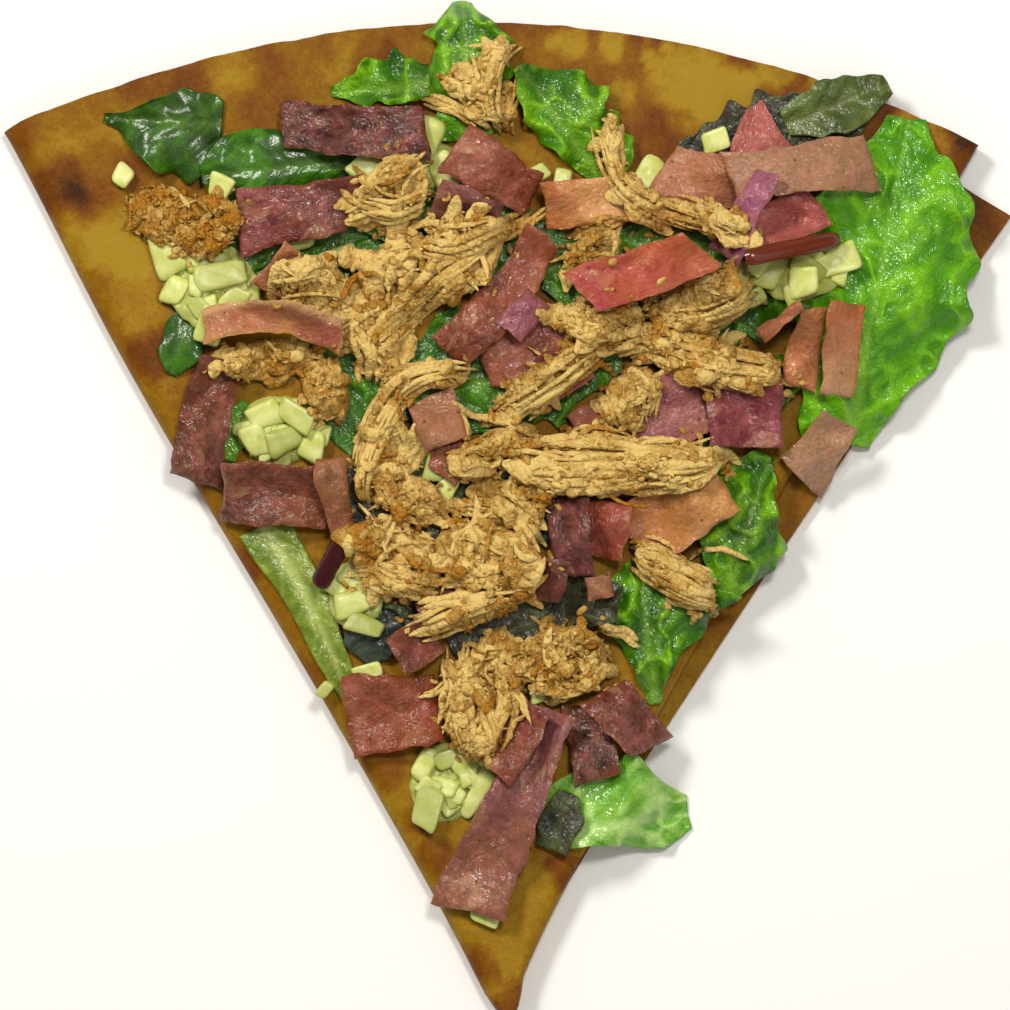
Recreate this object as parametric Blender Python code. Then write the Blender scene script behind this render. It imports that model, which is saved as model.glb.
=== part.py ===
"""A savory crepe, folded to a wedge and topped with salad, cheese, ham and pulled chicken.

Everything is laid down in the order a cook lays it: each piece is draped over the height map
of what is already there, so that nothing overlaps and nothing floats. Lengths are in
millimetres here and are scaled to metres when a mesh is made. +Z is up, +Y runs from the
wedge's tip to its rim, and the origin lies under the middle of the wedge.
"""

import math
from dataclasses import dataclass

import bmesh
import bpy
import numpy as np

MM = 0.001

# Driving dimensions of the folded crepe, in mm and degrees.
RIM_RADIUS = 200.0
RIM_LEFT_MORE = 2.5
RIM_CORNERS_MORE = 2.3
APEX_Y = -103.5
TIP_START = 2.2
TIP_EXTRA = 2.8
TIP_EXTRA_FADE = 12.0
TIP_SHIFT = 0.8
LEFT_ANGLE = 29.4
LEFT_BULGE = 2.0
RIGHT_ANGLE = 28.4
RIGHT_HOLLOW = 2.6
LOWER_RIGHT_ANGLE = 32.2
LOWER_RIGHT_HOLLOW = 5.0
LOWER_RIGHT_SHORTER = 9.0
LAYER = 2.2
LAYER_GAP = 0.35
RIM_GROOVE = 3.0
CREPE_WAVE = 0.35

# How pieces are laid on each other, in mm.
GAP = 0.30
CELL = 0.5
FIELD = 230.0
LEAF_THICK = 0.8
HAM_THICK = 1.7
SKIN_THICK = 1.0

# Colour, roughness of each finish.
FINISHES = {
    "crepe": ((0.52, 0.31, 0.07), 0.55),
    "lettuce": ((0.10, 0.30, 0.01), 0.35),
    "dark_leaf": ((0.05, 0.09, 0.03), 0.35),
    "stem": ((0.16, 0.01, 0.02), 0.30),
    "ham_red": ((0.40, 0.11, 0.09), 0.35),
    "ham_tan": ((0.50, 0.25, 0.14), 0.40),
    "chicken": ((0.62, 0.38, 0.14), 0.65),
    "cheese": ((0.70, 0.70, 0.32), 0.35),
}


@dataclass(frozen=True)
class Slice:
    """A cut piece of ham, or a stem: a strip about a middle line."""

    name: str
    finish: str
    x: float
    y: float
    length: float
    width: float
    turn: float
    taper: float = 1.0
    skew: float = 0.0
    bow: float = 0.0
    arch: float = 0.0
    curl: float = 0.0
    reach: float = 3.0
    thick: float = HAM_THICK


@dataclass(frozen=True)
class Leaf:
    """A salad leaf: base and tip of its midrib, and its half-widths to the left and the right of it.

    The half-widths stand at even steps from base to tip. bow is how far the midrib swings out
    to its left, lift how high it arches, and frill how high its edges ruffle.
    """

    name: str
    finish: str
    base: tuple
    tip: tuple
    left: tuple
    right: tuple
    bow: float = 0.0
    lift: float = 1.5
    frill: float = 1.5
    waves: float = 3.0
    reach: float = 3.0
    along: int = 8
    across: int = 5


@dataclass(frozen=True)
class Lump:
    """An elliptical dome: middle, length, width, turn and height."""

    x: float
    y: float
    length: float
    width: float
    turn: float
    height: float


@dataclass(frozen=True)
class Clump:
    """Pulled chicken: domed lumps run together, with shreds lying on them."""

    name: str
    seed: int
    lumps: tuple
    shreds: int
    shred_length: float
    shred_width: float
    turn: float
    spread: float
    rings: int = 5
    spokes: int = 22


@dataclass(frozen=True)
class Dice:
    """Diced cheese: blocks of x, y, length, width, turn and height on a shallow base."""

    name: str
    base: Lump
    blocks: tuple


class Field:
    """The height of the topmost surface laid down so far, on a square raster."""

    def __init__(self):
        """Starts with the bare surface that the crepe lies on."""
        self.count = int(FIELD / CELL)
        self.top = np.zeros((self.count, self.count))

    def cells(self, x, y):
        """The raster position of points in mm, as whole numbers."""
        column = np.clip(np.round((x + FIELD / 2) / CELL).astype(int), 0, self.count - 1)
        row = np.clip(np.round((y + FIELD / 2) / CELL).astype(int), 0, self.count - 1)
        return row, column

    def highest(self, values, reach):
        """A square running maximum over reach mm to each side."""
        steps = max(1, round(reach / CELL))
        for axis in (0, 1):
            still = values
            for shift in range(1, steps + 1):
                for way in (shift, -shift):
                    values = np.maximum(values, np.roll(still, way, axis=axis))
        return values

    def smoothed(self, values, reach):
        """A square running mean over reach mm to each side."""
        steps = max(1, round(reach / CELL))
        for axis in (0, 1):
            still = values
            for shift in range(1, steps + 1):
                for way in (shift, -shift):
                    values = values + np.roll(still, way, axis=axis)
            values = values / (2 * steps + 1)
        return values

    def drape(self, reach):
        """A smooth surface nowhere below the pieces: the running maximum, then its running mean."""
        return self.smoothed(self.highest(self.top, reach), reach * 0.95)

    def close(self):
        """The top surface with each cell raised to its highest neighbour."""
        return self.highest(self.top, CELL)

    def at(self, values, x, y):
        """The values under points in mm."""
        return values[self.cells(x, y)]

    def stamp(self, points, faces):
        """Raises the top surface to the faces, each sampled finely enough to fill its cells."""
        corners = points[faces]
        longest = max(np.ptp(corners[:, :, k], axis=1).max() for k in (0, 1))
        for sample in weights(int(longest / CELL * 1.6) + 2):
            spots = np.einsum("k,fkc->fc", sample, corners)
            np.maximum.at(self.top, self.cells(spots[:, 0], spots[:, 1]), spots[:, 2])


def weights(steps):
    """Evenly spaced barycentric weights of a triangle, steps to a side."""
    return [
        (i / steps, j / steps, 1 - (i + j) / steps)
        for i in range(steps + 1)
        for j in range(steps + 1 - i)
    ]


def raised_clear(field, points, faces, groups):
    """Lifts points until each face clears the field by GAP, the points of one group together.

    The deficit of each face, sampled over its area, is handed to its three corners, and each
    group takes the largest that its points were given.
    """
    ceiling = field.close()
    for _ in range(12):
        short = np.full(len(faces), -np.inf)
        for sample in weights(5):
            spots = np.einsum("k,fkc->fc", sample, points[faces])
            clear = field.at(ceiling, spots[:, 0], spots[:, 1]) + GAP
            short = np.maximum(short, clear - spots[:, 2])
        if short.max() <= 0:
            break
        lift = np.zeros(groups.max() + 1)
        np.maximum.at(lift, groups[faces].ravel(), np.repeat(np.maximum(short, 0), 3))
        points[:, 2] += lift[groups]
    return points


def grid_faces(rows, columns, wrap=False):
    """Triangles of a grid of rows by columns points, all split along the same diagonal."""
    faces = []
    for i in range(rows - 1):
        for j in range(columns if wrap else columns - 1):
            a, b = i * columns + j, i * columns + (j + 1) % columns
            faces += [(a, b, b + columns), (a, b + columns, a + columns)]
    return np.array(faces)


def two_sided(lower, upper, faces, rim):
    """A closed solid: the upper points above the lower ones, joined round the rim's points.

    faces wind anticlockwise seen from above, and rim runs anticlockwise round them.
    """
    count = len(lower)
    ahead = np.roll(rim, -1)
    walls = [(a, b, b + count) for a, b in zip(rim, ahead)]
    walls += [(a, b + count, a + count) for a, b in zip(rim, ahead)]
    triangles = np.concatenate([faces[:, ::-1], faces + count, np.array(walls)])
    return np.concatenate([lower, upper]), triangles


def grid_rim(rows, columns):
    """The points round a grid, in the turning sense of its faces."""
    bottom = [j for j in range(columns)]
    right = [i * columns + columns - 1 for i in range(1, rows)]
    top = [(rows - 1) * columns + j for j in range(columns - 2, -1, -1)]
    left = [i * columns for i in range(rows - 2, 0, -1)]
    return np.array(bottom + right + top + left)


def turned(x, y, degrees):
    """x and y turned anticlockwise about the origin."""
    angle = math.radians(degrees)
    return x * math.cos(angle) - y * math.sin(angle), x * math.sin(angle) + y * math.cos(angle)


def sheet(field, x, y, rise, thick, reach):
    """A thin solid draped over the field: x, y and rise are grids over its plan."""
    rows, columns = x.shape
    faces = grid_faces(rows, columns)
    bottom = field.at(field.drape(reach), x, y) + GAP + rise
    points = np.stack([x, y, bottom], axis=-1).reshape(-1, 3)
    corner = points[faces[0]]
    if np.cross(corner[1, :2] - corner[0, :2], corner[2, :2] - corner[0, :2]) < 0:
        faces = faces[:, ::-1]
        rim = grid_rim(rows, columns)[::-1]
    else:
        rim = grid_rim(rows, columns)
    points = raised_clear(field, points, faces, np.arange(len(points)))
    return two_sided(points, points + [0, 0, thick], faces, rim)


def slice_solid(field, piece, seed):
    """A strip: a straight or bowed middle line, ragged long edges, arched along and curled across."""
    along = max(4, min(7, round(piece.length / 6)))
    across = 3 if piece.width < 7 else 4
    u, v = np.meshgrid(np.linspace(-1, 1, along), np.linspace(-1, 1, across), indexing="ij")
    rough = np.random.default_rng(seed).normal(0, 0.03, u.shape)
    half = piece.width / 2 * (1 + (piece.taper - 1) * (u + 1) / 2)
    run = piece.length / 2 * (u + rough) + piece.skew * v
    side = half * (v + rough[::-1]) + piece.bow * (1 - u * u)
    x, y = turned(run, side, piece.turn)
    rise = piece.arch * (1 - u * u) + piece.curl * v * v + 0.5 * (1 + np.sin(3 * u + 2 * v + seed))
    return sheet(field, x + piece.x, y + piece.y, rise, piece.thick, piece.reach)


def leaf_solid(field, piece, seed):
    """A blade of the given half-widths with an arched midrib and ruffled edges."""
    u, v = np.meshgrid(np.linspace(0, 1, piece.along), np.linspace(-1, 1, piece.across), indexing="ij")
    base, tip = np.array(piece.base), np.array(piece.tip)
    length = math.hypot(*(tip - base))
    stations = np.linspace(0, 1, len(piece.left))
    half = np.where(v > 0, np.interp(u, stations, piece.left), np.interp(u, stations, piece.right))
    wave = 2 * np.pi * piece.waves * u + seed + 1.3 * (v > 0)
    side = half * v * (1 + 0.06 * np.sin(2 * wave)) + piece.bow * 4 * u * (1 - u)
    x, y = turned(length * u, side, math.degrees(math.atan2(*(tip - base)[::-1])))
    edge = np.abs(v) ** 1.5 * np.sin(np.pi * np.clip(u, 0.08, 0.92))
    rise = piece.lift * np.sin(np.pi * u) * (1 - 0.6 * v * v) + piece.frill * edge * (1 + np.sin(wave))
    return sheet(field, x + base[0], y + base[1], rise, LEAF_THICK, piece.reach)


def dome_height(lumps, x, y):
    """The tallest of the elliptical domes at each point, and 0 off all of them."""
    height = np.zeros(np.shape(x))
    for lump in lumps:
        along, side = turned(x - lump.x, y - lump.y, -lump.turn)
        share = 1 - (2 * along / lump.length) ** 2 - (2 * side / lump.width) ** 2
        height = np.maximum(height, lump.height * np.sqrt(np.maximum(share, 0)))
    return height


def core_solid(field, lumps, rings, spokes, skin):
    """A mound over the union of the lumps, on a polar grid about their middle."""
    middle_x = np.average([lump.x for lump in lumps], weights=[lump.length for lump in lumps])
    middle_y = np.average([lump.y for lump in lumps], weights=[lump.length for lump in lumps])
    angle = 2 * np.pi * np.arange(spokes) / spokes
    reach = np.linspace(0.5, 90, 360)
    ray_x = middle_x + np.outer(np.cos(angle), reach)
    ray_y = middle_y + np.outer(np.sin(angle), reach)
    inside = dome_height(lumps, ray_x, ray_y) > 0
    edge = np.array([reach[hit].max() if hit.any() else 2.0 for hit in inside])
    edge = np.minimum(edge, 1.35 * np.minimum(np.roll(edge, 1), np.roll(edge, -1)))
    share = (np.arange(rings) + 1) / rings
    x = middle_x + np.concatenate([[0], np.outer(share, edge * np.cos(angle)).ravel()])
    y = middle_y + np.concatenate([[0], np.outer(share, edge * np.sin(angle)).ravel()])
    hub = [(0, 1 + j, 1 + (j + 1) % spokes) for j in range(spokes)]
    ring = grid_faces(rings, spokes, wrap=True)[:, ::-1] + 1
    faces = np.concatenate([np.array(hub), ring])
    bottom = field.at(field.drape(2.5), x, y) + GAP
    points = raised_clear(field, np.stack([x, y, bottom], axis=-1), faces, np.arange(len(x)))
    rim = 1 + (rings - 1) * spokes + np.arange(spokes)
    upper = points + np.stack([0 * x, 0 * x, np.maximum(dome_height(lumps, x, y), skin)], axis=-1)
    return two_sided(points, upper, faces, rim)


def shred_solid(field, rest, spot, turn, length, width, bend, lift):
    """A tapered, flattened, curved strand that lies on rest, a raster of heights, clear of the field."""
    rings, sides = 4, 4
    t = np.linspace(-1, 1, rings)
    run, side = length / 2 * t, bend * (1 - t * t)
    x, y = turned(run, side, turn)
    x, y = x + spot[0], y + spot[1]
    radius = width / 2 * np.sqrt(1 - 0.85 * t * t)
    z = field.at(rest, x, y) - 0.15 * width + lift * t * t
    around = 2 * np.pi * np.arange(sides) / sides
    out_x, out_y = turned(np.zeros(rings), np.ones(rings), turn)
    points = np.stack(
        [
            x[:, None] + np.outer(radius * out_x, np.cos(around)),
            y[:, None] + np.outer(radius * out_y, np.cos(around)),
            z[:, None] + np.outer(0.65 * radius, np.sin(around)),
        ],
        axis=-1,
    ).reshape(-1, 3)
    faces = grid_faces(rings, sides, wrap=True)
    caps = [(0, k + 1, k) for k in range(1, sides - 1)]
    last = (rings - 1) * sides
    caps += [(last, last + k, last + k + 1) for k in range(1, sides - 1)]
    faces = np.concatenate([faces, np.array(caps)])
    groups = np.repeat(np.arange(rings), sides)
    return raised_clear(field, points, faces, groups), faces


def clump_parts(field, piece):
    """The core of a clump and its shreds, which follow piece.turn within its spread."""
    draw = np.random.default_rng(piece.seed)
    core = core_solid(field, piece.lumps, piece.rings, piece.spokes, SKIN_THICK)
    covered = Field()
    covered.top = np.zeros_like(covered.top)
    covered.stamp(*core)
    rest = covered.highest(covered.top, CELL)
    rest = np.maximum(rest, field.close() + GAP)
    parts = [core]
    areas = np.array([lump.length * lump.width for lump in piece.lumps])
    for _ in range(piece.shreds):
        lump = piece.lumps[draw.choice(len(areas), p=areas / areas.sum())]
        share, angle = 0.42 * math.sqrt(draw.random()), 2 * math.pi * draw.random()
        spot = turned(share * lump.length * math.cos(angle), share * lump.width * math.sin(angle), lump.turn)
        spot = (spot[0] + lump.x, spot[1] + lump.y)
        length = piece.shred_length * draw.uniform(0.6, 1.4)
        width = piece.shred_width * draw.uniform(0.6, 1.4)
        turn = piece.turn + draw.normal(0, piece.spread)
        bend, lift = draw.normal(0, 0.12) * length, draw.uniform(0, 1.2)
        parts.append(shred_solid(field, rest, spot, turn, length, width, bend, lift))
    return parts


def block_solid(field, rest, block):
    """A cheese block that stands on rest, with its top tipped a little."""
    x, y, length, width, turn, height = block
    corner_x = np.array([-1, 1, 1, -1]) * length / 2
    corner_y = np.array([-1, -1, 1, 1]) * width / 2
    out_x, out_y = turned(corner_x, corner_y, turn)
    faces = np.array([(0, 1, 2), (0, 2, 3)])
    foot = field.at(rest, x + out_x, y + out_y)
    lower = np.stack([x + out_x, y + out_y, foot], axis=-1)
    lower = raised_clear(field, lower, faces, np.arange(4))
    tip = 0.08 * corner_x * math.sin(x) + 0.08 * corner_y * math.cos(y)
    upper = lower.copy()
    upper[:, 2] = lower[:, 2].max() + height + tip
    return two_sided(lower, upper, faces, np.arange(4))


def dice_parts(field, piece):
    """A shallow base with the blocks' feet sunk in it."""
    core = core_solid(field, (piece.base,), 2, 10, SKIN_THICK)
    rest = field.drape(2.5) + GAP + 0.5 * SKIN_THICK
    return [core] + [block_solid(field, rest, block) for block in piece.blocks]


@dataclass(frozen=True)
class Spot:
    """A point on the folded sheet's middle line, in the plane across the wedge.

    It lies at a fraction of the way from the middle line of the wedge to the centre of that
    side's fold, which is inset from the side by the fold's outer radius, then bulge mm further
    out. inward points to the inner face of the sheet, and rim is the radius of the rim there.
    """

    side: str
    fraction: float
    inset: float
    bulge: float
    height: float
    rim: float
    inward: tuple


def crepe_path():
    """The folded sheet's middle line across the wedge, from the lower to the top to the middle layer.

    The sheet runs left along the floor, folds up over the left side, runs right on top, folds
    under at the right and ends in the middle.
    """
    pitch = LAYER + LAYER_GAP
    low, middle, high = LAYER / 2, LAYER / 2 + pitch, LAYER / 2 + 2 * pitch
    left_fold, right_fold = pitch, pitch / 2
    left_inset, right_inset = left_fold + LAYER / 2, right_fold + LAYER / 2
    left = RIM_RADIUS + RIM_CORNERS_MORE + RIM_LEFT_MORE
    right = RIM_RADIUS + RIM_CORNERS_MORE - RIM_LEFT_MORE
    path = []
    for t in np.linspace(1, -1, 5):
        rim = right - LOWER_RIGHT_SHORTER + (left - right + LOWER_RIGHT_SHORTER) * (1 - t) / 2
        path.append(Spot("lower" if t > 0 else "left", t, left_inset * (t < 0), 0, low, rim, (0, 1)))
    for angle in np.radians(np.linspace(-90, 90, 7)[1:-1]):
        out, up = math.cos(angle), math.sin(angle)
        path.append(Spot("left", -1, left_inset, left_fold * out, middle + left_fold * up, left, (out, -up)))
    for t in np.linspace(-1, 1, 9):
        rim = RIM_RADIUS + RIM_CORNERS_MORE * t * t - RIM_LEFT_MORE * t
        side, inset = ("left", left_inset) if t < 0 else ("right", right_inset)
        path.append(Spot(side, t, inset, 0, high, rim, (0, -1)))
    for angle in np.radians((54, 18, -18, -54)):
        out, up = math.cos(angle), math.sin(angle)
        height = (middle + high) / 2 + right_fold * up
        path.append(Spot("right", 1, right_inset, right_fold * out, height, right, (-out, -up)))
    for t in np.linspace(1, -0.8, 6):
        inset = right_inset if t > 0 else left_inset
        path.append(Spot("right" if t > 0 else "left", t, inset, 0, middle, right - 4 + 4 * t, (0, 1)))
    return path


def crepe_half_width(side, share, run):
    """How far a long side lies from the middle line, run mm from the apex."""
    tip = TIP_EXTRA * math.exp(-run / TIP_EXTRA_FADE) * math.sqrt(min(1, run / 8))
    if side == "left":
        bulge = LEFT_BULGE * math.sin(math.pi * share**2) ** 2
        return run * math.sin(math.radians(LEFT_ANGLE)) + tip + bulge
    fade = min(run / 10, 1) * (1 - share**2.5)
    if side == "right":
        return run * math.sin(math.radians(RIGHT_ANGLE)) + tip - RIGHT_HOLLOW * fade
    return run * math.sin(math.radians(LOWER_RIGHT_ANGLE)) + tip - LOWER_RIGHT_HOLLOW * fade


def crepe_point(share, spot, inward):
    """The point at a share of the way from apex to rim, inward mm off the sheet's middle line."""
    angle = math.radians({"left": LEFT_ANGLE, "right": RIGHT_ANGLE, "lower": LOWER_RIGHT_ANGLE}[spot.side])
    run = TIP_START + share * (spot.rim - TIP_START)
    half = crepe_half_width(spot.side, share, run)
    squeeze = min(1, half / 7)
    across = spot.fraction * (half - spot.inset * squeeze)
    across += (math.copysign(spot.bulge, spot.fraction) + spot.inward[0] * inward) * squeeze
    sagitta = (1 - math.cos(angle)) * (across / half) ** 2
    ripple = 1 + math.sin(across / 13 + run / 21) * math.sin(run / 17)
    on_top = min(max((spot.height - 1.5 * LAYER) / (2 * LAYER), 0), 1)
    shift = TIP_SHIFT * math.exp(-run / TIP_EXTRA_FADE)
    height = spot.height + spot.inward[1] * inward + CREPE_WAVE * ripple * on_top * share
    return across + shift, APEX_Y + run * (1 - sagitta), height


def crepe_solid():
    """The folded sheet: the path swept from tip to rim, given its thickness, with a grooved rim."""
    path = crepe_path()
    shares = np.concatenate([[0, 0.015, 0.04, 0.075], np.linspace(0.14, 1, 6)])
    outer = np.array([crepe_point(share, spot, -LAYER / 2) for share in shares for spot in path])
    inner = np.array([crepe_point(share, spot, LAYER / 2) for share in shares for spot in path])
    outer[:, 2] = np.where(outer[:, 2] < 0.01, 0, outer[:, 2])
    rows, columns = len(shares), len(path)
    middle = np.array([crepe_point(1 - RIM_GROOVE / RIM_RADIUS, spot, 0) for spot in path])
    points = np.concatenate([outer, inner, middle])
    skin = grid_faces(rows, columns)
    count = rows * columns
    faces = [skin[:, ::-1], skin + count]
    start = np.arange(columns - 1)
    faces.append(np.stack([start, start + 1, start + 1 + count], axis=-1))
    faces.append(np.stack([start, start + 1 + count, start + count], axis=-1))
    end, groove = start + (rows - 1) * columns, start + 2 * count
    for edge, way in ((end, 1), (end + count, -1)):
        faces.append(np.stack([edge + 1, edge, groove], axis=-1)[:, ::way])
        faces.append(np.stack([edge + 1, groove, groove + 1], axis=-1)[:, ::way])
    for column in (0, columns - 1):
        way = 1 if column == 0 else -1
        line = np.arange(rows) * columns + column
        faces.append(np.stack([line[1:], line[:-1], line[:-1] + count], axis=-1)[:, ::way])
        faces.append(np.stack([line[1:], line[:-1] + count, line[1:] + count], axis=-1)[:, ::way])
        faces.append(np.array([(2 * count + column, line[-1], line[-1] + count)])[:, ::way])
    return points, np.concatenate(faces)[:, ::-1]


LEAVES = (
    Leaf(
        "spinach_left", "lettuce", (-56.6, 76), (-80.6, 77.8),
        (7, 11, 11.5, 10.5, 8, 3, 1), (5, 6.5, 6.5, 5.5, 3, 1, 0.7), waves=1.5,
    ),
    Leaf(
        "spinach_inner", "dark_leaf", (-28.6, 69), (-61, 66),
        (3, 3, 3.5, 7, 9, 8, 1.5), (3, 3, 4, 7.5, 9, 8, 1.5), lift=2.0, frill=0.6, waves=1.0,
    ),
    Leaf(
        "leaf_left_small", "dark_leaf", (-62, 40), (-67, 26),
        (3, 4, 4.5, 4, 1), (2, 4, 4.5, 4, 1), lift=1.0, frill=0.4, waves=1.0, along=5, across=4,
    ),
    Leaf(
        "lettuce_stalk", "lettuce", (-48.6, -4), (-31, -40),
        (5.5, 5, 4.5, 4, 3.5, 3, 0.8), (5.5, 5, 4.5, 4, 3.5, 3, 0.8),
        bow=1.5, frill=0.4, waves=1.0, along=9,
    ),
    Leaf(
        "oak_leaf_right", "dark_leaf", (33.4, 66), (74, 83),
        (2, 7, 7, 6, 4, 4.5, 3), (5, 7, 8, 8, 6, 3, 2), frill=1.0, waves=3.5, along=10,
    ),
    Leaf(
        "lettuce_right", "lettuce", (69, 12), (82, 81),
        (9.5, 12, 14, 13, 13, 8, 2), (4.5, 9, 15, 19, 19, 14.5, 2),
        lift=4.0, frill=2.6, waves=4.0, reach=5, along=13, across=8,
    ),
    Leaf(
        "lettuce_top", "lettuce", (-7, 73), (-8.6, 100.6),
        (5, 7, 8, 8, 8.5, 7, 1.5), (4, 7, 8, 9, 9, 6, 1.5), lift=2.5, frill=2.2, waves=2.5, across=6,
    ),
    Leaf(
        "lettuce_top_left", "lettuce", (-15, 84), (-35, 82.6),
        (3, 4, 4, 3.5, 3, 2, 1), (5, 8, 8, 6.5, 4.5, 3, 1), lift=2.0, frill=2.2, waves=3.0,
    ),
    Leaf(
        "lettuce_top_middle", "lettuce", (19.4, 65.4), (3, 87.4),
        (1, 3.5, 5, 6, 6, 4, 1.5), (2, 7, 10, 11, 10, 6, 2), lift=3.0, frill=1.8, waves=2.5, across=6,
    ),
    Leaf(
        "lettuce_middle_right", "lettuce", (44, -19), (53, 10),
        (2, 5, 8, 10, 12, 9, 2.5), (2, 5.5, 8, 7, 5, 3, 1), lift=4.0, frill=1.6, waves=2.0, across=6,
    ),
    Leaf(
        "lettuce_lower_right", "lettuce", (30, -40), (27, -11),
        (1, 3, 4.5, 8, 10.5, 8, 3), (1, 3.5, 6, 11, 17, 13, 5), lift=3.5, frill=1.4, waves=1.5, across=6,
    ),
    Leaf(
        "oak_leaf_left", "dark_leaf", (-30, -30), (-20, -19),
        (3, 5, 6, 5, 2), (3, 5, 6, 5, 2), frill=0.8, waves=1.5, along=6,
    ),
    Leaf(
        "lettuce_bottom", "lettuce", (8.6, -66), (37, -62),
        (9, 12.5, 12.5, 13, 13, 8, 3), (2.5, 3.5, 4, 4.5, 6, 6, 3),
        lift=3.0, frill=1.2, waves=1.5, reach=5, across=6,
    ),
)

CHEESE = (
    Dice(
        "cheese_left",
        Lump(-59, 44, 19, 17, -20, 2.0),
        (
            (-68, 50.5, 10, 6, -65, 4.5),
            (-61, 50, 7, 5, 30, 4.0),
            (-57, 46, 11, 5.5, 10, 4.5),
            (-66, 43, 6, 4.5, 60, 3.5),
            (-55, 40, 9, 5, 50, 4.0),
            (-59, 36, 8, 5.5, 75, 4.0),
            (-51, 42, 8, 4, 75, 3.5),
        ),
    ),
    Dice(
        "cheese_left_middle",
        Lump(-45, 15, 17, 14, -10, 3.0),
        (
            (-48, 18, 7, 5, 20, 4.0),
            (-42, 18, 8, 4.5, -35, 5.0),
            (-50, 13, 7, 5, -60, 3.5),
            (-44, 13, 8, 5, 25, 4.5),
            (-38.5, 12, 7, 5, 70, 4.0),
        ),
    ),
    Dice(
        "cheese_lower_left",
        Lump(-30, -18, 11, 14, 0, 2.5),
        (
            (-29, -13.5, 8, 6, 60, 4.5),
            (-30, -19.5, 9, 5, 15, 5.0),
            (-28, -24.0, 8, 4, -20, 3.5),
        ),
    ),
    Dice(
        "cheese_bottom",
        Lump(-11, -56, 17, 14, 40, 1.5),
        (
            (-16, -52, 8, 5, 60, 4.0),
            (-10, -51, 8, 4.5, 20, 3.5),
            (-15.5, -60.5, 9, 6, 75, 4.0),
            (-5, -57, 12, 4.5, 60, 3.5),
            (-4.5, -51, 6, 4, -55, 3.0),
        ),
    ),
    Dice(
        "cheese_top",
        Lump(-18, 68, 20, 13, -10, 2.5),
        (
            (-27, 67, 8, 6, -30, 4.0),
            (-15.5, 73, 9, 5.5, 75, 5.0),
            (-12, 66, 9, 5.5, -65, 5.0),
            (-20, 66, 7, 5, 20, 4.0),
        ),
    ),
    Dice(
        "cheese_right",
        Lump(60, 46.5, 17, 11, 20, 1.5),
        (
            (66, 48.5, 10, 5, 25, 4.0),
            (59.5, 44.5, 6, 6, 10, 4.5),
            (53, 46.5, 7, 5, 60, 4.0),
        ),
    ),
)

LOWER_HAM = (
    Slice("ham_top_left", "ham_red", -30, 75.2, 29, 10.5, -4, 0.85, -1, 0, 1.5, 0.5),
    Slice("ham_left_upper", "ham_red", -41.6, 59, 23.5, 11, 13, 0.95, 2.0, 0, 1.0, 0.3),
    Slice("ham_top_middle", "ham_red", -2, 67, 20, 11.5, -30, 0.9, 0, 0, 1.5, 0.6),
    Slice("ham_right_tip", "ham_red", 51, 73.6, 12, 16, 95, 0.2, 0, 0, 0.6),
    Slice("ham_right_back", "ham_tan", 43, 64.2, 22, 11, -14, 0.8, 2, 0, 1.0, 0.3),
    Slice("ham_right_red", "ham_red", 56.4, 56.0, 14.5, 11, 24, 0.9, 0, 0, 1.0, 0.3),
    Slice("ham_right_long", "ham_tan", 59, 67.4, 28, 10.5, 5, 1.0, -1, 0, 1.5, 0.4),
    Slice("ham_right_fold", "ham_red", 48, 58, 18.5, 8.5, 62, 0.75, 0, 0, 1.5, 0.8),
    Slice("ham_right_pink", "ham_tan", 60.4, 31, 15, 7.5, 82, 0.95, 0, 0, 0.8),
    Slice("ham_right_edge", "ham_tan", 67.2, 31, 17.5, 7.5, 81, 1.0, 0, 0, 0.6),
    Slice("ham_right_pale", "ham_tan", 63.4, 10.6, 14, 10, 56, 0.85, 0, 0, 1.0, 0.3),
    Slice("ham_right_lilac", "ham_red", 33.5, 19.4, 16, 15, 20, 0.9, 0, 0, 1.5, 0.3),
    Slice("ham_right_square", "ham_red", 48.5, 18.4, 14, 16, 3, 1.0, 0, 0, 2.0, 0.3),
    Slice("ham_lower_tan", "ham_tan", 33.4, -1.4, 22, 13, 30, 0.85, 0, 0, 1.5, 0.6),
    Slice("ham_lower_red", "ham_red", 19.8, -5, 11, 9, 85, 0.95, 0, 0, 1.2),
    Slice("ham_lower_dark", "ham_red", 12.8, -6.2, 17, 8.5, 95, 0.9, 0, 0, 1.5, 0.8),
    Slice("ham_left_flat", "ham_red", -58.8, 16.4, 24, 10, 76, 0.9, 0, 1.2, 1.0, 0.5),
    Slice("ham_left_band", "ham_red", -46, 1.8, 24, 13, 0, 1.0, 0, 0, 2.5),
    Slice("ham_left_curl", "ham_tan", -32.4, 0.4, 20, 6, -76, 0.9, 0, -1.5, 1.0),
    Slice("ham_bottom_left", "ham_red", -21.4, -41.4, 19, 15.5, 10, 1.0, 0, 0, 1.0, 0.4),
    Slice("ham_bottom_middle", "ham_red", 17.2, -46.8, 15.5, 9, 100, 0.9, 0, 0, 1.2),
    Slice("ham_bottom_right", "ham_red", 24.4, -42.4, 15.5, 10, -56, 1.0, 0, 0, 1.0, 0.3),
    Slice("ham_bottom_long", "ham_red", 0.6, -61.2, 43, 9.5, -113, 1.65, -1.5, 0, 2.0, 0.3),
)

MIDDLE_HAM = (
    Slice("ham_centre_tan", "ham_tan", 17, 60, 20, 10.5, 6, 0.9, 0, 0, 3.0),
    Slice("ham_centre_low", "ham_red", 5.8, 31, 23, 12, 10, 0.9, 0, 0, 1.0),
    Slice("ham_centre_strip", "ham_red", -1.6, 42.4, 30, 8.5, 50, 1.0, 0, -2.0, 1.5),
)

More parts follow.
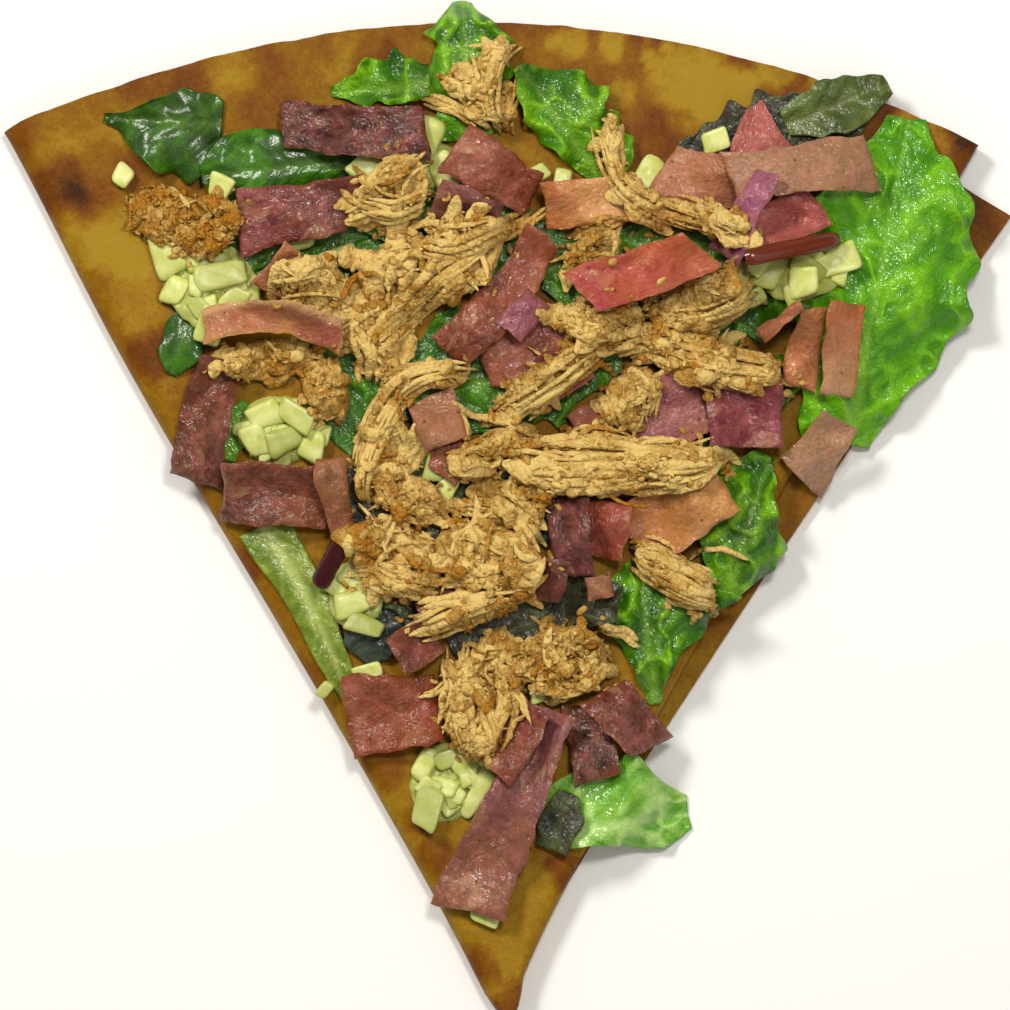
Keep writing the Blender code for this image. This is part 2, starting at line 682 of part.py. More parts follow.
UPPER_HAM = (
    Slice("ham_left_arch", "ham_tan", -47.4, 34.2, 27, 7.5, -3, 1.0, 0, 3.5, 2.0),
    Slice("ham_centre_red", "ham_red", 27, 46.6, 25, 12.5, 21, 0.8, -2, 0, 1.5, 0.3),
)

STEMS = (
    Slice("stem_beet", "stem", -34.4, -10.8, 12, 4, 62, 1.0, thick=3.0, reach=2.0),
    Slice("stem_chard", "stem", 57, 51, 19, 3.6, 12, 1.0, thick=2.4, reach=2.0),
)

LOWER_CHICKEN = (
    Clump(
        "chicken_left_top", 11,
        (Lump(-68, 58, 18, 12, -15, 5.0), Lump(-60, 56, 16, 13, 20, 5.5)),
        shreds=4, shred_length=8, shred_width=2.8, turn=0, spread=60, rings=3, spokes=12,
    ),
    Clump(
        "chicken_left_middle", 12,
        (Lump(-47, 29, 21, 9, 8, 4.5), Lump(-36, 23, 14, 9, -60, 5.0)),
        shreds=4, shred_length=9, shred_width=2.8, turn=-20, spread=50, rings=3, spokes=12,
    ),
    Clump(
        "chicken_small_right", 13,
        (Lump(31, -11.5, 12, 7, -35, 4.0), Lump(37, -17, 12, 8, -30, 4.5)),
        shreds=3, shred_length=12, shred_width=3.0, turn=-28, spread=18, rings=3, spokes=12,
    ),
    Clump(
        "chicken_top", 14,
        (Lump(-3, 88, 14, 6, 60, 3.5), Lump(-4, 81, 16, 8, -30, 4.0)),
        shreds=4, shred_length=14, shred_width=3.0, turn=95, spread=45, rings=3, spokes=12,
    ),
)

MAIN_CHICKEN = (
    Clump(
        "chicken_upper", 21,
        (
            Lump(-22, 62, 20, 18, 60, 6.0),
            Lump(-39, 44, 24, 14, -20, 6.0),
            Lump(-16, 46, 38, 22, 30, 8.5),
            Lump(-26, 36, 20, 16, -40, 7.0),
        ),
        shreds=10, shred_length=18, shred_width=3.6, turn=35, spread=35, rings=4, spokes=20,
    ),
    Clump(
        "chicken_centre", 22,
        (
            Lump(-27, 14, 30, 10, 68, 7.5),
            Lump(-15, 27, 24, 9, 10, 5.5),
            Lump(-14, -7, 36, 27, -30, 9.0),
            Lump(1, -2, 26, 24, -50, 9.0),
            Lump(0, 12, 20, 16, 60, 7.0),
            Lump(8, 24.5, 29, 10, 34, 7.5),
        ),
        shreds=13, shred_length=20, shred_width=4.0, turn=10, spread=50, rings=5, spokes=26,
    ),
    Clump(
        "chicken_right", 23,
        (
            Lump(31, 40, 43, 14, 8, 6.0),
            Lump(18, 51, 15, 10, 30, 5.0),
            Lump(25, 22, 18, 13, 0, 5.0),
            Lump(43, 28, 28, 12, -10, 6.5),
        ),
        shreds=7, shred_length=16, shred_width=3.6, turn=5, spread=40, rings=4, spokes=18,
    ),
    Clump(
        "chicken_lower", 24,
        (
            Lump(-4, -38, 18, 28, 5, 7.0),
            Lump(-8, -22, 28, 9, 12, 5.5),
            Lump(11, -30, 23, 20, 0, 8.0),
        ),
        shreds=7, shred_length=15, shred_width=3.6, turn=40, spread=50, rings=4, spokes=18,
    ),
    Clump(
        "chicken_flake", 25,
        (Lump(22, 8, 34, 13, 0, 5.0), Lump(34, 8, 22, 8, 5, 4.0)),
        shreds=4, shred_length=26, shred_width=4.0, turn=0, spread=12, rings=4, spokes=14,
    ),
)

HOOK_CHICKEN = (
    Clump(
        "chicken_hook", 26,
        (Lump(20.5, 72, 18, 5, 100, 3.0), Lump(26, 61, 14, 6, -55, 3.5), Lump(37, 58, 22, 6, -12, 3.5)),
        shreds=4, shred_length=18, shred_width=3.0, turn=-35, spread=25, rings=3, spokes=18,
    ),
)


def material_of(finish):
    """The Principled material of a finish, made once."""
    found = bpy.data.materials.get(finish)
    if found:
        return found
    colour, roughness = FINISHES[finish]
    made = bpy.data.materials.new(finish)
    made.use_nodes = True
    shader = made.node_tree.nodes["Principled BSDF"]
    shader.inputs["Base Color"].default_value = (*colour, 1)
    shader.inputs["Roughness"].default_value = roughness
    shader.inputs["Metallic"].default_value = 0.0
    return made


def object_of(name, points, faces, finish):
    """A named object with the mesh in metres, smooth shaded but for its sharp edges."""
    mesh = bpy.data.meshes.new(name)
    mesh.from_pydata((points * MM).tolist(), [], faces.tolist())
    mesh.materials.append(material_of(finish))
    mesh.shade_smooth()
    mesh.set_sharp_from_angle(angle=math.radians(50))
    made = bpy.data.objects.new(name, mesh)
    bpy.context.scene.collection.objects.link(made)
    return made


def without_scraps(mesh):
    """Removes every island of faces but the largest: loose shreds and hollows sealed by the union."""
    whole = bmesh.new()
    whole.from_mesh(mesh)
    unseen = set(whole.verts)
    islands = []
    while unseen:
        edge = {unseen.pop()}
        island = set(edge)
        while edge:
            edge = {link.other_vert(v) for v in edge for link in v.link_edges} & unseen
            unseen -= edge
            island |= edge
        islands.append(island)
    islands.sort(key=len)
    for island in islands[:-1]:
        bmesh.ops.delete(whole, geom=list(island), context="VERTS")
    bmesh.ops.triangulate(whole, faces=whole.faces[:])
    whole.to_mesh(mesh)
    whole.free()


def fused(name, parts, finish):
    """One object from overlapping closed parts, joined by a union on their collection."""
    body = object_of(name, *parts[0], finish)
    helpers = bpy.data.collections.new(name + "_parts")
    bpy.context.scene.collection.children.link(helpers)
    for number, (points, faces) in enumerate(parts[1:]):
        helper = object_of(f"{name}_part_{number}", points, faces, finish)
        bpy.context.scene.collection.objects.unlink(helper)
        helpers.objects.link(helper)
    union = body.modifiers.new("union", "BOOLEAN")
    union.operation = "UNION"
    union.solver = "MANIFOLD"
    union.operand_type = "COLLECTION"
    union.collection = helpers
    graph = bpy.context.evaluated_depsgraph_get()
    whole = bpy.data.meshes.new_from_object(body.evaluated_get(graph))
    without_scraps(whole)
    body.modifiers.clear()
    body.data = whole
    for helper in list(helpers.objects):
        bpy.data.objects.remove(helper)
    bpy.data.collections.remove(helpers)
    return body


def triangles_of(body):
    """The points, in mm, and the triangles of an object whose mesh is triangles."""
    mesh = body.data
    points = np.array([vertex.co for vertex in mesh.vertices]) / MM
    return points, np.array([face.vertices for face in mesh.polygons])


def lay(field, name, solid, finish):
    """Makes an object of one solid and adds it to the field."""
    object_of(name, *solid, finish)
    field.stamp(*solid)


def lay_fused(field, name, parts, finish):
    """Makes one object of fused parts and adds it to the field."""
    field.stamp(*triangles_of(fused(name, parts, finish)))


def main():
    """Clears the scene and lays the crepe and its toppings from the bottom up."""
    for existing in list(bpy.data.objects):
        bpy.data.objects.remove(existing)
    field = Field()
    lay(field, "crepe", crepe_solid(), "crepe")
    for seed, leaf in enumerate(LEAVES):
        lay(field, leaf.name, leaf_solid(field, leaf, seed), leaf.finish)
    for dice in CHEESE:
        lay_fused(field, dice.name, dice_parts(field, dice), "cheese")
    for seed, piece in enumerate(LOWER_HAM + STEMS + MIDDLE_HAM):
        lay(field, piece.name, slice_solid(field, piece, seed), piece.finish)
    for clump in LOWER_CHICKEN + MAIN_CHICKEN:
        lay_fused(field, clump.name, clump_parts(field, clump), "chicken")
    for seed, piece in enumerate(UPPER_HAM):
        lay(field, piece.name, slice_solid(field, piece, seed), piece.finish)
    for clump in HOOK_CHICKEN:
        lay_fused(field, clump.name, clump_parts(field, clump), "chicken")


main()
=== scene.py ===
"""The looks of a savory crepe: a folded crepe topped with salad, ham, grated cheese and pulled chicken.

Each topping is laid down in the order a cook lays it. A height map keeps the top of what lies
there already, and the next piece is draped over it. Lengths are in millimetres until a mesh is
made. +Z is up, +Y runs from the wedge's tip to its rim, and the origin lies under its middle.
"""

import logging
import math
from collections.abc import Callable
from dataclasses import dataclass, field, replace
from enum import Enum
from functools import partial

import bpy
import numpy as np
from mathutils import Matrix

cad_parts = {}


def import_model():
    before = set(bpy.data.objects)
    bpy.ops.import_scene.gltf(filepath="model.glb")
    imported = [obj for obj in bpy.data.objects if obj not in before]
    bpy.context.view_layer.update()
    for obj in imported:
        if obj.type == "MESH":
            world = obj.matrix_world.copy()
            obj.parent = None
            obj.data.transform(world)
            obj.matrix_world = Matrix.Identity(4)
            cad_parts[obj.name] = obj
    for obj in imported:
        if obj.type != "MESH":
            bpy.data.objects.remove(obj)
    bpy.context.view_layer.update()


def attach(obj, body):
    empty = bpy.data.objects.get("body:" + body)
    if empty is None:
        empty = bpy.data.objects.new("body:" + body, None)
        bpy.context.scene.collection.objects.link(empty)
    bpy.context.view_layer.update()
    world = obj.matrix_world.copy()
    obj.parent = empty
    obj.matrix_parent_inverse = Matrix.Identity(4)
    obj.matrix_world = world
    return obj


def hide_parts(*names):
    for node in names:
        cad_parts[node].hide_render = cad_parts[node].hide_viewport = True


log = logging.getLogger("crepe")

Array = np.ndarray
Material = bpy.types.Material

MM = 0.001
PER_MM = 1000.0

# How pieces are laid on each other, in mm.
GAP = 0.25
CELL = 0.4
PLAN = 236.0

# The photograph's frame, in metres: it is square, and shows 202 mm at the height of the toppings.
FRAME_WIDTH = 0.202
FRAME_HEIGHT = 0.012
CAMERA_DISTANCE = 2.2
SENSOR = 36.0


class Slot(Enum):
    """Material slots."""

    CREPE = "crepe"
    LETTUCE = "lettuce"
    DARK_LEAF = "dark_leaf"
    STEM = "stem"
    HAM_RED = "ham_red"
    HAM_TAN = "ham_tan"
    CHICKEN = "chicken"
    CHEESE = "cheese"


DARK = Slot.DARK_LEAF
TAN = Slot.HAM_TAN


@dataclass
class Shell:
    """A triangle mesh in mm, with values for its points that its material reads.

    Attributes:
        points: The points, one row each.
        faces: The triangles, as rows of three point numbers, seen anticlockwise from outside.
        values: Named numbers, one for each point.
        uv: A place in mm on the flat piece for each point, or None.
    """

    points: Array
    faces: Array
    values: dict[str, Array] = field(default_factory=dict)
    uv: Array | None = None


def joined(shells: list[Shell]) -> Shell:
    """One shell of several, whose values have the same names.

    Args:
        shells: The shells to join.

    Returns:
        All their points and faces, the face numbers moved on.
    """
    starts = np.cumsum([0] + [len(shell.points) for shell in shells[:-1]])
    values = {
        name: np.concatenate([shell.values[name] for shell in shells]) for name in shells[0].values
    }
    uv = None if shells[0].uv is None else np.concatenate([shell.uv for shell in shells])
    return Shell(
        np.concatenate([shell.points for shell in shells]),
        np.concatenate([shell.faces + start for shell, start in zip(shells, starts)]),
        values,
        uv,
    )


# Noise and grids, as whole arrays.


def lattice(column: Array, row: Array, layer: Array, seed: int) -> Array:
    """A repeatable number from 0 to 1 for each whole-number place: its numbers mixed bit by bit.

    Args:
        column: Whole numbers along x.
        row: Whole numbers along y.
        layer: Whole numbers along z.
        seed: Another number gives another pattern.

    Returns:
        One number for each place.
    """
    mixed = column * 374761393 + row * 668265263 + layer * 1274126177 + seed * 974634777
    mixed = (mixed ^ (mixed >> 13)) & 0xFFFFFFFF
    mixed = (mixed * 1103515245 + 12345) & 0xFFFFFFFF
    mixed = ((mixed ^ (mixed >> 16)) * 2246822519) & 0xFFFFFFFF
    return ((mixed ^ (mixed >> 15)) & 0xFFFF) / 65535.0


def noise(place: Array, seed: int = 0) -> Array:
    """Smooth noise from -1 to 1: lattice numbers blended by a smoothstep along each axis.

    Args:
        place: Rows of x, y, z, in units of the noise's cell.
        seed: Another number gives another pattern.

    Returns:
        One number for each row.
    """
    floor = np.floor(place).astype(np.int64)
    part = place - floor
    part = part * part * (3 - 2 * part)
    total = np.zeros(place.shape[:-1])
    for corner in np.ndindex(2, 2, 2):
        weight = np.prod(np.where(corner, part, 1 - part), axis=-1)
        total += weight * lattice(*np.moveaxis(floor + corner, -1, 0), seed)
    return 2 * total - 1


def fractal(place: Array, seed: int = 0, octaves: int = 3) -> Array:
    """Noise with finer noise added: each octave is twice as fine and half as strong.

    Args:
        place: Rows of x, y, z, in units of the coarsest cell.
        seed: Another number gives another pattern.
        octaves: How many sizes of noise are added.

    Returns:
        One number for each row, from about -1 to 1.
    """
    total = np.zeros(place.shape[:-1])
    for octave in range(octaves):
        total += noise(place * 2.0**octave, seed + octave) / 2.0**octave
    return total / (2 - 0.5 ** (octaves - 1))


def cells_of(x: Array, y: Array, seed: int = 0) -> tuple[Array, Array]:
    """The nearest and second nearest of one scattered dot in each unit square.

    Args:
        x: Across the squares.
        y: Along the squares.
        seed: Another number gives other dots.

    Returns:
        The distances to the nearest and to the second nearest dot.
    """
    column, row = np.floor(x).astype(np.int64), np.floor(y).astype(np.int64)
    first = np.full(x.shape, 9.0)
    second = first.copy()
    for across in (-1, 0, 1):
        for along in (-1, 0, 1):
            c, r = column + across, row + along
            dot_x = c + 0.1 + 0.8 * lattice(c, r, 0 * c, seed)
            dot_y = r + 0.1 + 0.8 * lattice(c, r, 0 * c + 1, seed)
            far = np.hypot(x - dot_x, y - dot_y)
            second = np.minimum(second, np.maximum(first, far))
            first = np.minimum(first, far)
    return first, second


def smoothstep(low: float, high: float, value: Array) -> Array:
    """0 below low, 1 above high, and a smooth curve between them."""
    share = np.clip((value - low) / (high - low), 0, 1)
    return share * share * (3 - 2 * share)


def turned(x: Array, y: Array, degrees: float) -> tuple[Array, Array]:
    """x and y turned anticlockwise about the origin."""
    angle = np.radians(degrees)
    return x * np.cos(angle) - y * np.sin(angle), x * np.sin(angle) + y * np.cos(angle)


def stacked(x: Array, y: Array, z: Array | float) -> Array:
    """Rows of x, y, z from arrays of one shape."""
    return np.stack([x, y, z + 0 * x], axis=-1)


def grid_faces(rows: int, columns: int, wrap: bool = False) -> Array:
    """Triangles over a grid of points, numbered row by row, all split along the same diagonal.

    Args:
        rows: Rows of points.
        columns: Points in a row.
        wrap: Whether the last column joins the first.

    Returns:
        Rows of three point numbers.
    """
    row = np.arange(rows - 1)[:, None] * columns
    column = np.arange(columns if wrap else columns - 1)[None, :]
    a = (row + column).ravel()
    b = (row + (column + 1) % columns).ravel()
    first = np.stack([a, b, b + columns], axis=-1)
    second = np.stack([a, b + columns, a + columns], axis=-1)
    return np.concatenate([first, second])


def grid_rim(rows: int, columns: int) -> Array:
    """The points round a grid, in the turning sense of its faces."""
    bottom = np.arange(columns)
    right = np.arange(1, rows) * columns + columns - 1
    top = (rows - 1) * columns + np.arange(columns - 2, -1, -1)
    left = np.arange(rows - 2, 0, -1) * columns
    return np.concatenate([bottom, right, top, left])


def two_sided(lower: Array, upper: Array, faces: Array, rim: Array) -> Shell:
    """A closed skin: upper points over lower ones, joined round the rim.

    Args:
        lower: The points below.
        upper: The points above, one for each below.
        faces: Triangles over the upper points, anticlockwise from above.
        rim: The points round the edge, anticlockwise.

    Returns:
        The closed shell, the lower points first.
    """
    count = len(lower)
    ahead = np.roll(rim, -1)
    walls = np.stack([rim, ahead, ahead + count], axis=-1)
    more = np.stack([rim, ahead + count, rim + count], axis=-1)
    return Shell(
        np.concatenate([lower, upper]),
        np.concatenate([faces[:, ::-1], faces + count, walls, more]),
    )


class Heights:
    """The height of the topmost surface laid down so far, on a square raster."""

    def __init__(self) -> None:
        """Starts with the bare surface that the crepe lies on."""
        self.count = int(PLAN / CELL)
        self.top = np.zeros((self.count, self.count))

    def highest(self, values: Array, reach: float) -> Array:
        """The largest value within a square of reach mm to each side."""
        steps = max(1, round(reach / CELL))
        for axis in (0, 1):
            still = values
            for shift in range(1, steps + 1):
                for way in (shift, -shift):
                    values = np.maximum(values, np.roll(still, way, axis=axis))
        return values

    def smoothed(self, values: Array, reach: float) -> Array:
        """The mean value of a square of reach mm to each side."""
        steps = max(1, round(reach / CELL))
        for axis in (0, 1):
            still = values
            for shift in range(1, steps + 1):
                for way in (shift, -shift):
                    values = values + np.roll(still, way, axis=axis)
            values = values / (2 * steps + 1)
        return values

    def drape(self, reach: float) -> Array:
        """A smooth surface nowhere below the pieces: the running maximum, then its mean."""
        return self.smoothed(self.highest(self.top, reach), reach * 0.95)

    def at(self, values: Array, x: Array, y: Array) -> Array:
        """The values under points, blended between the four cells round each.

        Args:
            values: A raster, such as the top or what drape gives.
            x: Across, in mm.
            y: Along, in mm.

        Returns:
            One value for each point.
        """
        column = np.clip((x + PLAN / 2) / CELL, 0, self.count - 1.001)
        row = np.clip((y + PLAN / 2) / CELL, 0, self.count - 1.001)
        c, r = column.astype(int), row.astype(int)
        across, along = column - c, row - r
        near = values[r, c] * (1 - across) + values[r, c + 1] * across
        far = values[r + 1, c] * (1 - across) + values[r + 1, c + 1] * across
        return near * (1 - along) + far * along

    def stamp(self, shell: Shell) -> None:
        """Raises the top to a shell: each face is sampled finely enough to fill its cells."""
        corners = shell.points[shell.faces]
        longest = np.ptp(corners[:, :, :2], axis=1).max(axis=1)
        steps = np.clip((longest / CELL * 1.5).astype(int) + 1, 1, 24)
        for count in np.unique(steps):
            chosen = corners[steps == count]
            for i in range(count + 1):
                for j in range(count + 1 - i):
                    share = np.array([i, j, count - i - j]) / count
                    spot = np.einsum("k,fkc->fc", share, chosen)
                    column = np.clip(np.round((spot[:, 0] + PLAN / 2) / CELL), 0, self.count - 1)
                    row = np.clip(np.round((spot[:, 1] + PLAN / 2) / CELL), 0, self.count - 1)
                    place = (row * self.count + column).astype(int)
                    np.maximum.at(self.top.reshape(-1), place, spot[:, 2])


def blanket(
    heights: Heights,
    x: Array,
    y: Array,
    rise: Array,
    thick: Array | float,
    reach: float,
) -> Shell:
    """A thin piece draped over what lies there: bottom = smoothed heights + gap + rise.

    Args:
        heights: What lies there already.
        x: Grid of the piece's plan, across.
        y: Grid of the piece's plan, along.
        rise: How far each point stands above the draped surface.
        thick: How far the top stands above the bottom.
        reach: How far the piece bridges hollows, in mm.

    Returns:
        The closed piece.
    """
    rows, columns = x.shape
    low = np.maximum(
        heights.at(heights.drape(reach), x, y) + rise,
        heights.at(heights.highest(heights.top, CELL), x, y),
    )
    bottom = stacked(x, y, low + GAP).reshape(-1, 3)
    top = stacked(x, y, low + GAP + thick).reshape(-1, 3)
    faces, rim = grid_faces(rows, columns), grid_rim(rows, columns)
    corner = bottom[faces[0], :2]
    if np.cross(corner[1] - corner[0], corner[2] - corner[0]) < 0:
        faces, rim = faces[:, ::-1], rim[::-1]
    return two_sided(bottom, top, faces, rim)


def both(values: Array) -> Array:
    """Values of a grid, once for the lower and once for the upper points."""
    return np.tile(values.reshape(-1), 2)


# Materials.


def linear(code: str) -> tuple[float, float, float, float]:
    """The linear colour of an sRGB hex code.

    Args:
        code: Six hex digits after a #.

    Returns:
        Red, green, blue and a full alpha.
    """
    parts = [int(code[k : k + 2], 16) / 255 for k in (1, 3, 5)]
    parts = [c / 12.92 if c <= 0.04045 else ((c + 0.055) / 1.055) ** 2.4 for c in parts]
    return (*parts, 1.0)


class Kind(Enum):
    """The kinds of node: type, inputs in the order that add takes them, output and settings."""

    PLACE = ("ShaderNodeTexCoord", (), "Object", {})
    FLAT = ("ShaderNodeUVMap", (), 0, {"uv_map": "blade"})
    VALUE = ("ShaderNodeAttribute", (), "Fac", {})
    MAPPING = ("ShaderNodeMapping", ("Vector", "Scale"), 0, {})
    NOISE = ("ShaderNodeTexNoise", ("Vector", "Scale", "Detail", "Roughness", "Distortion"), 0, {})
    NOISE_COLOUR = ("ShaderNodeTexNoise", ("Vector", "Scale", "Detail"), "Color", {})
    CELLS = ("ShaderNodeTexVoronoi", ("Vector", "Scale"), 0, {})
    CELL_EDGES = ("ShaderNodeTexVoronoi", ("Vector", "Scale"), 0, {"feature": "DISTANCE_TO_EDGE"})
    RANGE = ("ShaderNodeMapRange", ("Value", "From Min", "From Max", "To Min", "To Max"), 0, {})
    OPEN_RANGE = (*RANGE[:3], {"clamp": False})
    PLUS = ("ShaderNodeMath", (0, 1), 0, {"operation": "ADD"})
    TIMES = ("ShaderNodeMath", (0, 1), 0, {"operation": "MULTIPLY"})
    SCALE_ADD = ("ShaderNodeMath", (0, 1, 2), 0, {"operation": "MULTIPLY_ADD"})
    LEAST = ("ShaderNodeMath", (0, 1), 0, {"operation": "MINIMUM"})
    SIZE = ("ShaderNodeMath", (0,), 0, {"operation": "ABSOLUTE"})
    SHIFT = ("ShaderNodeVectorMath", (0, 1), 0, {"operation": "ADD"})
    STRETCH = ("ShaderNodeVectorMath", (0, "Scale"), 0, {"operation": "SCALE"})
    BLEND = ("ShaderNodeMix", (0, 6, 7), 2, {"data_type": "RGBA"})
    MULTIPLY = ("ShaderNodeMix", (0, 6, 7), 2, {"data_type": "RGBA", "blend_type": "MULTIPLY"})
    SCREEN = ("ShaderNodeMix", (0, 6, 7), 2, {"data_type": "RGBA", "blend_type": "SCREEN"})
    BUMP = ("ShaderNodeBump", ("Height", "Strength", "Distance"), 0, {})
    SHADER = (
        "ShaderNodeBsdfPrincipled",
        (
            "Base Color", "Roughness", "Normal", "IOR", "Specular IOR Level",
            "Coat Weight", "Coat Roughness", "Coat Normal",
        ),
        0,
        {},
    )
    OUTPUT = ("ShaderNodeOutputMaterial", ("Surface",), None, {})


def add(
    tree: bpy.types.NodeTree,
    kind: Kind,
    *inputs: object,
    sockets: dict[str, object] | None = None,
    **settings: object,
) -> bpy.types.NodeSocket | None:
    """Adds a node, with its settings and links.

    Args:
        tree: The material's node tree.
        kind: The node's kind.
        inputs: A socket to link, a hex colour or a plain value for each of the kind's inputs.
        sockets: More inputs, by name.
        settings: The node's own properties.

    Returns:
        The kind's output socket, or None where it has none.
    """
    node_type, names, out, preset = kind.value
    made = tree.nodes.new(node_type)
    for name, value in {**preset, **settings}.items():
        setattr(made, name, value)
    for name, value in {**dict(zip(names, inputs)), **(sockets or {})}.items():
        if isinstance(value, bpy.types.NodeSocket):
            tree.links.new(value, made.inputs[name])
        else:
            made.inputs[name].default_value = linear(value) if isinstance(value, str) else value
    return None if out is None else made.outputs[out]


def new_material(name: str) -> tuple[Material, Callable]:
    """An empty node material of this name, and the call that adds a node to it."""
    made = bpy.data.materials.new(name)
    made.use_nodes = True
    made.node_tree.nodes.clear()
    return made, partial(add, made.node_tree)


@dataclass(frozen=True)
class CrepeFinish:
    """Thin batter baked on a hot plate: an eggy skin, pale in its bubbles, brown where it touched.

    The eye sees satin gold that runs softly into orange-brown, with a fine grain of pores. How
    brown a point is comes from the sheet's own browning, and the grain shifts it a little.
    """

    pale: str = "#a07e1c"
    gold: str = "#8a6008"
    brown: str = "#744008"
    dark: str = "#3c1e04"
    blotch_mm: float = 5.0
    grain_mm: float = 1.3
    pore_mm: float = 0.8

    def material(self) -> Material:
        """The material, which reads the piece's browning for each point."""
        made, node = new_material("baked_batter")
        place = node(Kind.PLACE)
        baked = node(Kind.VALUE, attribute_name="browning")
        blotch = node(Kind.NOISE, place, PER_MM / self.blotch_mm, 5.0, 0.65, 0.5)
        grain = node(Kind.NOISE, place, PER_MM / self.grain_mm, 4.0, 0.7)
        pore = node(Kind.CELLS, place, PER_MM / self.pore_mm)
        level = node(Kind.SCALE_ADD, blotch, 0.85, -0.425)
        level = node(Kind.PLUS, level, baked)
        fine = node(Kind.SCALE_ADD, grain, 0.6, -0.3)
        level = node(Kind.PLUS, fine, level)
        speck = node(Kind.RANGE, pore, 0.1, 0.5, 0.1, -0.03)
        level = node(Kind.PLUS, speck, level)
        first = node(Kind.RANGE, level, 0.0, 0.45)
        colour = node(Kind.BLEND, first, self.pale, self.gold)
        second = node(Kind.RANGE, level, 0.4, 0.85)
        colour = node(Kind.BLEND, second, colour, self.brown)
        third = node(Kind.RANGE, level, 0.85, 1.45)
        colour = node(Kind.BLEND, third, colour, self.dark)
        relief = node(Kind.SCALE_ADD, blotch, 2.0, grain)
        bump = node(Kind.BUMP, relief, 0.5, 0.3 * MM)
        rough = node(Kind.RANGE, grain, 0.0, 1.0, 0.4, 0.6)
        node(Kind.OUTPUT, node(Kind.SHADER, colour, rough, bump, 1.42, 0.15))
        return made


@dataclass(frozen=True)
class LeafFinish:
    """A fresh salad leaf: waxy skin, puckered between a net of veins, paler at its rib.

    The wax gives small bright glints on each pucker. Its colour also has a painted highlight on the
    raised puckers and painted shade in the vein grooves and hollows. The leaf's own place in mm
    carries the veins, so that they follow the blade.
    """

    name: str
    green: str
    # deep is the darker tone of random patches, and also painted shade in the vein grooves and hollows.
    deep: str
    # bright is a painted highlight, mixed onto the raised puckers.
    bright: str
    vein: str
    net_mm: float = 2.0
    vein_step: float = 6.5
    vein_strength: float = 0.5
    roughness: float = 0.30
    skin: float = 1.0
    slot: Slot = Slot.LETTUCE

    def material(self) -> Material:
        """The material, which reads the leaf's place in mm, its puckers and its rib."""
        made, node = new_material(self.name)
        flat = node(Kind.FLAT)
        place = node(Kind.PLACE)
        pucker = node(Kind.VALUE, attribute_name="pucker")
        rib = node(Kind.VALUE, attribute_name="rib")
        patch = node(Kind.NOISE, place, PER_MM / 9, 3.0)
        patch = node(Kind.RANGE, patch, 0.34, 0.64)
        colour = node(Kind.BLEND, patch, self.deep, self.green)
        # Painted highlight: the raised puckers are mixed toward the bright colour.
        painted_highlight_mask = node(Kind.RANGE, pucker, 0.15, 0.8, 0.0, 0.75)
        colour = node(Kind.BLEND, painted_highlight_mask, colour, self.bright)
        warp = node(Kind.NOISE_COLOUR, flat, 0.45, 2.0)
        bent = node(Kind.STRETCH, warp, 3.2)
        bent = node(Kind.SHIFT, flat, bent)
        net = node(Kind.CELL_EDGES, bent, 1 / self.net_mm)
        net = node(Kind.RANGE, net, 0.0, 0.22, 1.0, 0.0)
        fine = node(Kind.CELL_EDGES, bent, 2.6 / self.net_mm)
        fine = node(Kind.RANGE, fine, 0.0, 0.25, 1.0, 0.0)
        lines = node(Kind.SCALE_ADD, fine, 0.35, net)
        # Painted shade: the vein grooves and the low puckers are mixed toward the deep colour.
        painted_hollow_shade = node(Kind.RANGE, pucker, 0.25, -0.35, 0.0, 0.6)
        shade = node(Kind.SCALE_ADD, lines, 0.22, painted_hollow_shade)
        shade = node(Kind.LEAST, shade, 0.95)
        colour = node(Kind.BLEND, shade, colour, self.deep)
        pale = node(Kind.TIMES, rib, self.vein_strength)
        colour = node(Kind.BLEND, pale, colour, self.vein)
        grain = node(Kind.NOISE, place, PER_MM / 0.5, 2.0)
        relief = node(Kind.SCALE_ADD, lines, -1.0, grain)
        bump = node(Kind.BUMP, relief, 0.4 + 0.5 * self.skin, 0.25 * MM)
        rough = node(Kind.RANGE, grain, 0.0, 1.0, self.roughness - 0.08, self.roughness + 0.1)
        small = node(Kind.NOISE, bent, 0.9, 2.0)
        wax = node(Kind.SCALE_ADD, lines, -0.9, small)
        wax = node(Kind.BUMP, wax, self.skin, 0.45 * MM)
        node(Kind.OUTPUT, node(Kind.SHADER, colour, 0.5, bump, 1.45, 0.12, 0.7, rough, wax))
        return made


